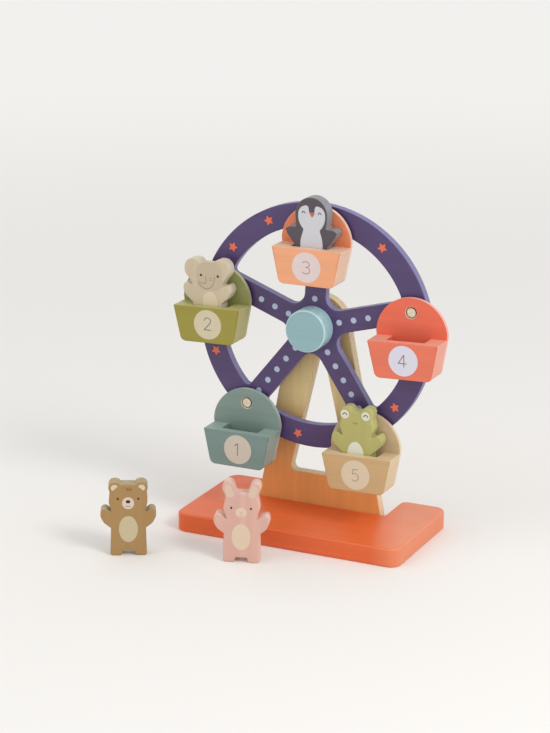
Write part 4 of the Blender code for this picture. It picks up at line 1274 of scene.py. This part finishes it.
# %% [markdown]
# Three animals ride, each on the floor of its tub's pocket, and take their place and lean from the
# tub's. Two stand on the table in front. The board's grain runs up, which keeps the ears from breaking
# off, and end grain soaks up paint, so the sawn edges have a paler and more streaky coat; their
# paleness is partly a painted highlight where they face the light.

# %% Five figures
SEAT_DROP, SEAT_Y = 0.0409, -0.0133


def rider_place(number, shift):
    """Where a figure's feet stand in its tub."""
    return bucket_place(number) @ Matrix.Translation((shift, SEAT_Y, -SEAT_DROP))


FIGURES = {
    "penguin": (PENGUIN_SHARES, WIDE_BODY, rider_place(3, 0.0011)),
    "elephant": (ELEPHANT_SHARES, SLIM_BODY, rider_place(2, -0.0026)),
    "frog": (FROG_SHARES, SLIM_BODY, rider_place(5, -0.0026)),
    "bear": (BEAR_SHARES, WIDE_BODY, at(-0.1061, -0.1136, 0, turn=math.radians(28))),
    "rabbit": (RABBIT_SHARES, WIDE_BODY, at(-0.0193, -0.0882, 0, turn=math.radians(17.5))),
}
# The second colour of each coat, for the sawn edges, is partly a painted highlight.
FIGURE_COATS = {
    "penguin": ("penguin_grey", (0.31, 0.28, 0.31), (0.57, 0.57, 0.59)),
    "elephant": ("elephant_grey", (0.78, 0.72, 0.61), (0.83, 0.79, 0.70)),
    "frog": ("frog_green", (0.69, 0.67, 0.40), (0.76, 0.76, 0.50)),
    "bear": ("bear_brown", (0.65, 0.51, 0.31), (0.70, 0.62, 0.46)),
    "rabbit": ("rabbit_pink", (0.85, 0.67, 0.61), (0.93, 0.79, 0.74)),
}
for name, (shares, body, place) in FIGURES.items():
    slot, face, edge = FIGURE_COATS[name]
    figure = saw(f"{name}_board", [figure_line(shares, body)], FIGURE_THICKNESS, FIGURE_EDGE,
                 paint(slot, face, grain="Z", roughness=0.45),
                 paint(f"{slot}_edge", edge, grain="Z", roughness=0.5, streaks=0.08))
    put(figure, place @ STAND_UP)
    smooth(figure)
    finish(figure, name, slot, name)

# %% [markdown]
# The figures' faces and bellies take the same prints. All the prints of one animal are joined, and lie
# on its front. Most come in pairs, so an eye or an ear is written once and mirrored.

# %% Tools for printed faces
def eyes(u, z, half_width, half_height, layer=0):
    """Two round eyes."""
    return [filled(oval(side * u, z, half_width, half_height), dark_ink, layer) for side in (-1, 1)]


def pair(line, material):
    """A filled shape and its mirror image."""
    return [filled(through(line), material), filled(through(mirrored(line)), material)]


def closed_by_mirror(side, first, last):
    """A smooth closed line: a point in the middle, one side, another such point and the other side."""
    return through([first] + side + [last] + mirrored(side[::-1]))


def print_on(name, prints, shift=0.0):
    """Join a figure's prints, set them on its front and let them ride on it."""
    printed = join(prints, f"{name}_print")
    put(printed, FIGURES[name][2] @ Matrix.Translation((shift, 0, 0)) @ to_front(
        -FIGURE_THICKNESS / 2 - INK_THICKNESS / 4))
    finish(printed, name, FIGURE_COATS[name][0])


dark_ink = ink("dark_ink", (0.20, 0.11, 0.07))
line_ink = ink("line_ink", (0.52, 0.42, 0.34))
cream_ink = ink("cream_ink", (0.84, 0.77, 0.70))
print("inks for the faces")

# %% [markdown]
# The bear has a pale belly, a cream muzzle with a dark nose on it, and pale inner ears. Three short
# strokes make its tuft of hair. What lies on another print is on a higher layer, so that no two
# surfaces share one place.

# %% Bear
BEAR_EAR = [
    (13.1, 54.8), (13.3, 56.6), (12.3, 58.1), (10.1, 58.6), (8.2, 57.5), (8.5, 56.6), (10.1, 55.4),
    (11.6, 53.9),
]
BEAR_TUFT = ([(-1.3, 55.9), (0.0, 53.7)], [(0.9, 56.1), (1.0, 54.0)], [(2.7, 55.5), (1.9, 53.7)])
bear_belly = ink("bear_belly_ink", (0.77, 0.71, 0.57))
bear_ear = ink("bear_ear_ink", (0.84, 0.77, 0.66))
bear_tuft = ink("bear_tuft_ink", (0.36, 0.24, 0.14))
print_on("bear", [
    filled(oval(0, 22.0, 7.4, 10.8), bear_belly),
    filled(oval(0, 43.4, 4.7, 4.9), cream_ink),
    filled(oval(0, 44.7, 1.8, 1.35), dark_ink, 2),
    pen_stroke([(-1.6, 41.2), (-0.8, 40.6), (0, 40.5), (0.8, 40.6), (1.6, 41.2)], 0.45, line_ink, 2),
    *eyes(8, 47.0, 0.85, 1.0),
    *pair(BEAR_EAR, bear_ear),
    *[pen_stroke(hair, 0.55, bear_tuft) for hair in BEAR_TUFT],
])

# %% [markdown]
# The rabbit's inner ears run up into the long ears, as far as the eased edge. Its mouth and nose are
# two short thin strokes.

# %% Rabbit
RABBIT_EAR = [
    (5.5, 55.2), (6.8, 59.6), (8.3, 63.0), (10.3, 64.2), (12.2, 62.8), (12.6, 60.0), (12.0, 56.2),
    (10.8, 53.8), (8.0, 53.5),
]
rabbit_belly = ink("rabbit_belly_ink", (0.86, 0.77, 0.67))
rabbit_muzzle = ink("rabbit_muzzle_ink", (0.87, 0.77, 0.68))
rabbit_ear = ink("rabbit_ear_ink", (0.84, 0.74, 0.66))
rabbit_line = ink("rabbit_line_ink", (0.62, 0.50, 0.43))
print_on("rabbit", [
    filled(oval(0, 21.2, 7.4, 10.8), rabbit_belly),
    filled(oval(0, 41.3, 4.4, 3.9), rabbit_muzzle),
    pen_stroke([(-1.0, 41.4), (0, 40.9), (1.0, 41.4)], 0.32, rabbit_line, 2),
    pen_stroke([(-1.3, 39.0), (0, 38.4), (1.3, 39.0)], 0.32, rabbit_line, 2),
    *eyes(7.7, 44.9, 0.8, 0.95),
    *pair(RABBIT_EAR, rabbit_ear),
])

# %% [markdown]
# The penguin's face and belly are one white shape with a waist. It is symmetric, so one side of it is
# written. Its eyes are closed: two arcs.

# %% Penguin
PENGUIN_SIDE = [
    (1.9, 49.2), (2.4, 50.6), (2.6, 52.6), (3.4, 54.1), (4.9, 54.6), (8.4, 53.4), (10.6, 50.8),
    (11.3, 48.0), (11.3, 44.6), (10.4, 41.0), (8.7, 37.9), (7.1, 35.9), (7.4, 33.6), (8.7, 29.4),
    (9.4, 24.6), (9.2, 19.0), (7.6, 14.4),
]
BEAK = [(-1.8, 48.9), (0.4, 49.5), (2.6, 48.9), (1.8, 47.2), (0.4, 45.6), (-1.0, 47.2)]
PENGUIN_EYE = [(8.2, 48.2), (7.6, 49.3), (6.8, 49.7), (6.0, 49.3), (5.4, 48.2)]
penguin_white = ink("penguin_white_ink", (0.79, 0.79, 0.81))
beak_orange = ink("beak_ink", (0.74, 0.38, 0.32))
print_on("penguin", [
    filled(closed_by_mirror(PENGUIN_SIDE, (0, 48.6), (0, 12.6)), penguin_white),
    filled(through(BEAK), beak_orange, 1),
    *[pen_stroke(eye, 0.7, dark_ink) for eye in (PENGUIN_EYE, mirrored(PENGUIN_EYE))],
], shift=0.00065)

# %% [markdown]
# The elephant's head is a patch of a darker grey, whose line is symmetric too. Its trunk is one long
# stroke that swings to its right, with two wrinkles.

# %% Elephant
ELEPHANT_HEAD = [(8, 35), (11, 40), (11.6, 47), (10.5, 53), (6, 56.5)]
TRUNK = [
    (4.4, 45.6), (4.2, 42.2), (2.7, 38.1), (0, 35.8), (-2.6, 35.1), (-5.6, 35.8), (-8.1, 37.6),
    (-9.6, 39.2), (-9.0, 40.4), (-7.3, 39.6), (-5.1, 39.2), (-3.6, 40.1), (-3.1, 41.6), (-3.4, 45.4),
]
WRINKLES = ([(0.0, 43.8), (1.0, 44.2), (2.2, 43.9)], [(0.2, 42.3), (1.2, 42.6), (2.2, 42.2)])
elephant_face = ink("elephant_face_ink", (0.74, 0.68, 0.58))
elephant_belly = ink("elephant_belly_ink", (0.84, 0.77, 0.65))
print_on("elephant", [
    filled(closed_by_mirror(ELEPHANT_HEAD, (0, 33.5), (0, 57.3)), elephant_face),
    filled(oval(0, 22.4, 6.7, 10.8), elephant_belly),
    *eyes(7.5, 46, 1.0, 1.1, layer=1),
    pen_stroke(TRUNK, 0.45, line_ink),
    *[pen_stroke(wrinkle, 0.35, line_ink) for wrinkle in WRINKLES],
], shift=0.0029)

# %% [markdown]
# The frog's eyes are white discs high on its head, each with an arc for its closed lid. One arc is
# written about its own middle and set on both discs.

# %% Frog
EYE_MIDDLES = (-8.9, 8.9)
FROG_EYE = [(-1.8, 52.6), (-1.0, 53.8), (0, 54.2), (1.0, 53.8), (1.8, 52.6)]
frog_white = ink("frog_white_ink", (0.85, 0.85, 0.78))
frog_line = ink("frog_line_ink", (0.30, 0.27, 0.27))
frog_smile = ink("frog_smile_ink", (0.50, 0.50, 0.20))
frog_prints = [
    filled(oval(0, 20.6, 7.0, 10.8), frog_white),
    pen_stroke([(-1.7, 47.3), (-1.0, 46.5), (0, 46.2), (1.0, 46.5), (1.7, 47.3)], 0.6, frog_smile),
]
for middle in EYE_MIDDLES:
    frog_prints.append(filled(oval(middle, 53.2, 3.6, 3.6), frog_white))
    frog_prints.append(pen_stroke([(middle + u, z) for u, z in FROG_EYE], 0.8, frog_line))
print_on("frog", frog_prints, shift=-0.0004)
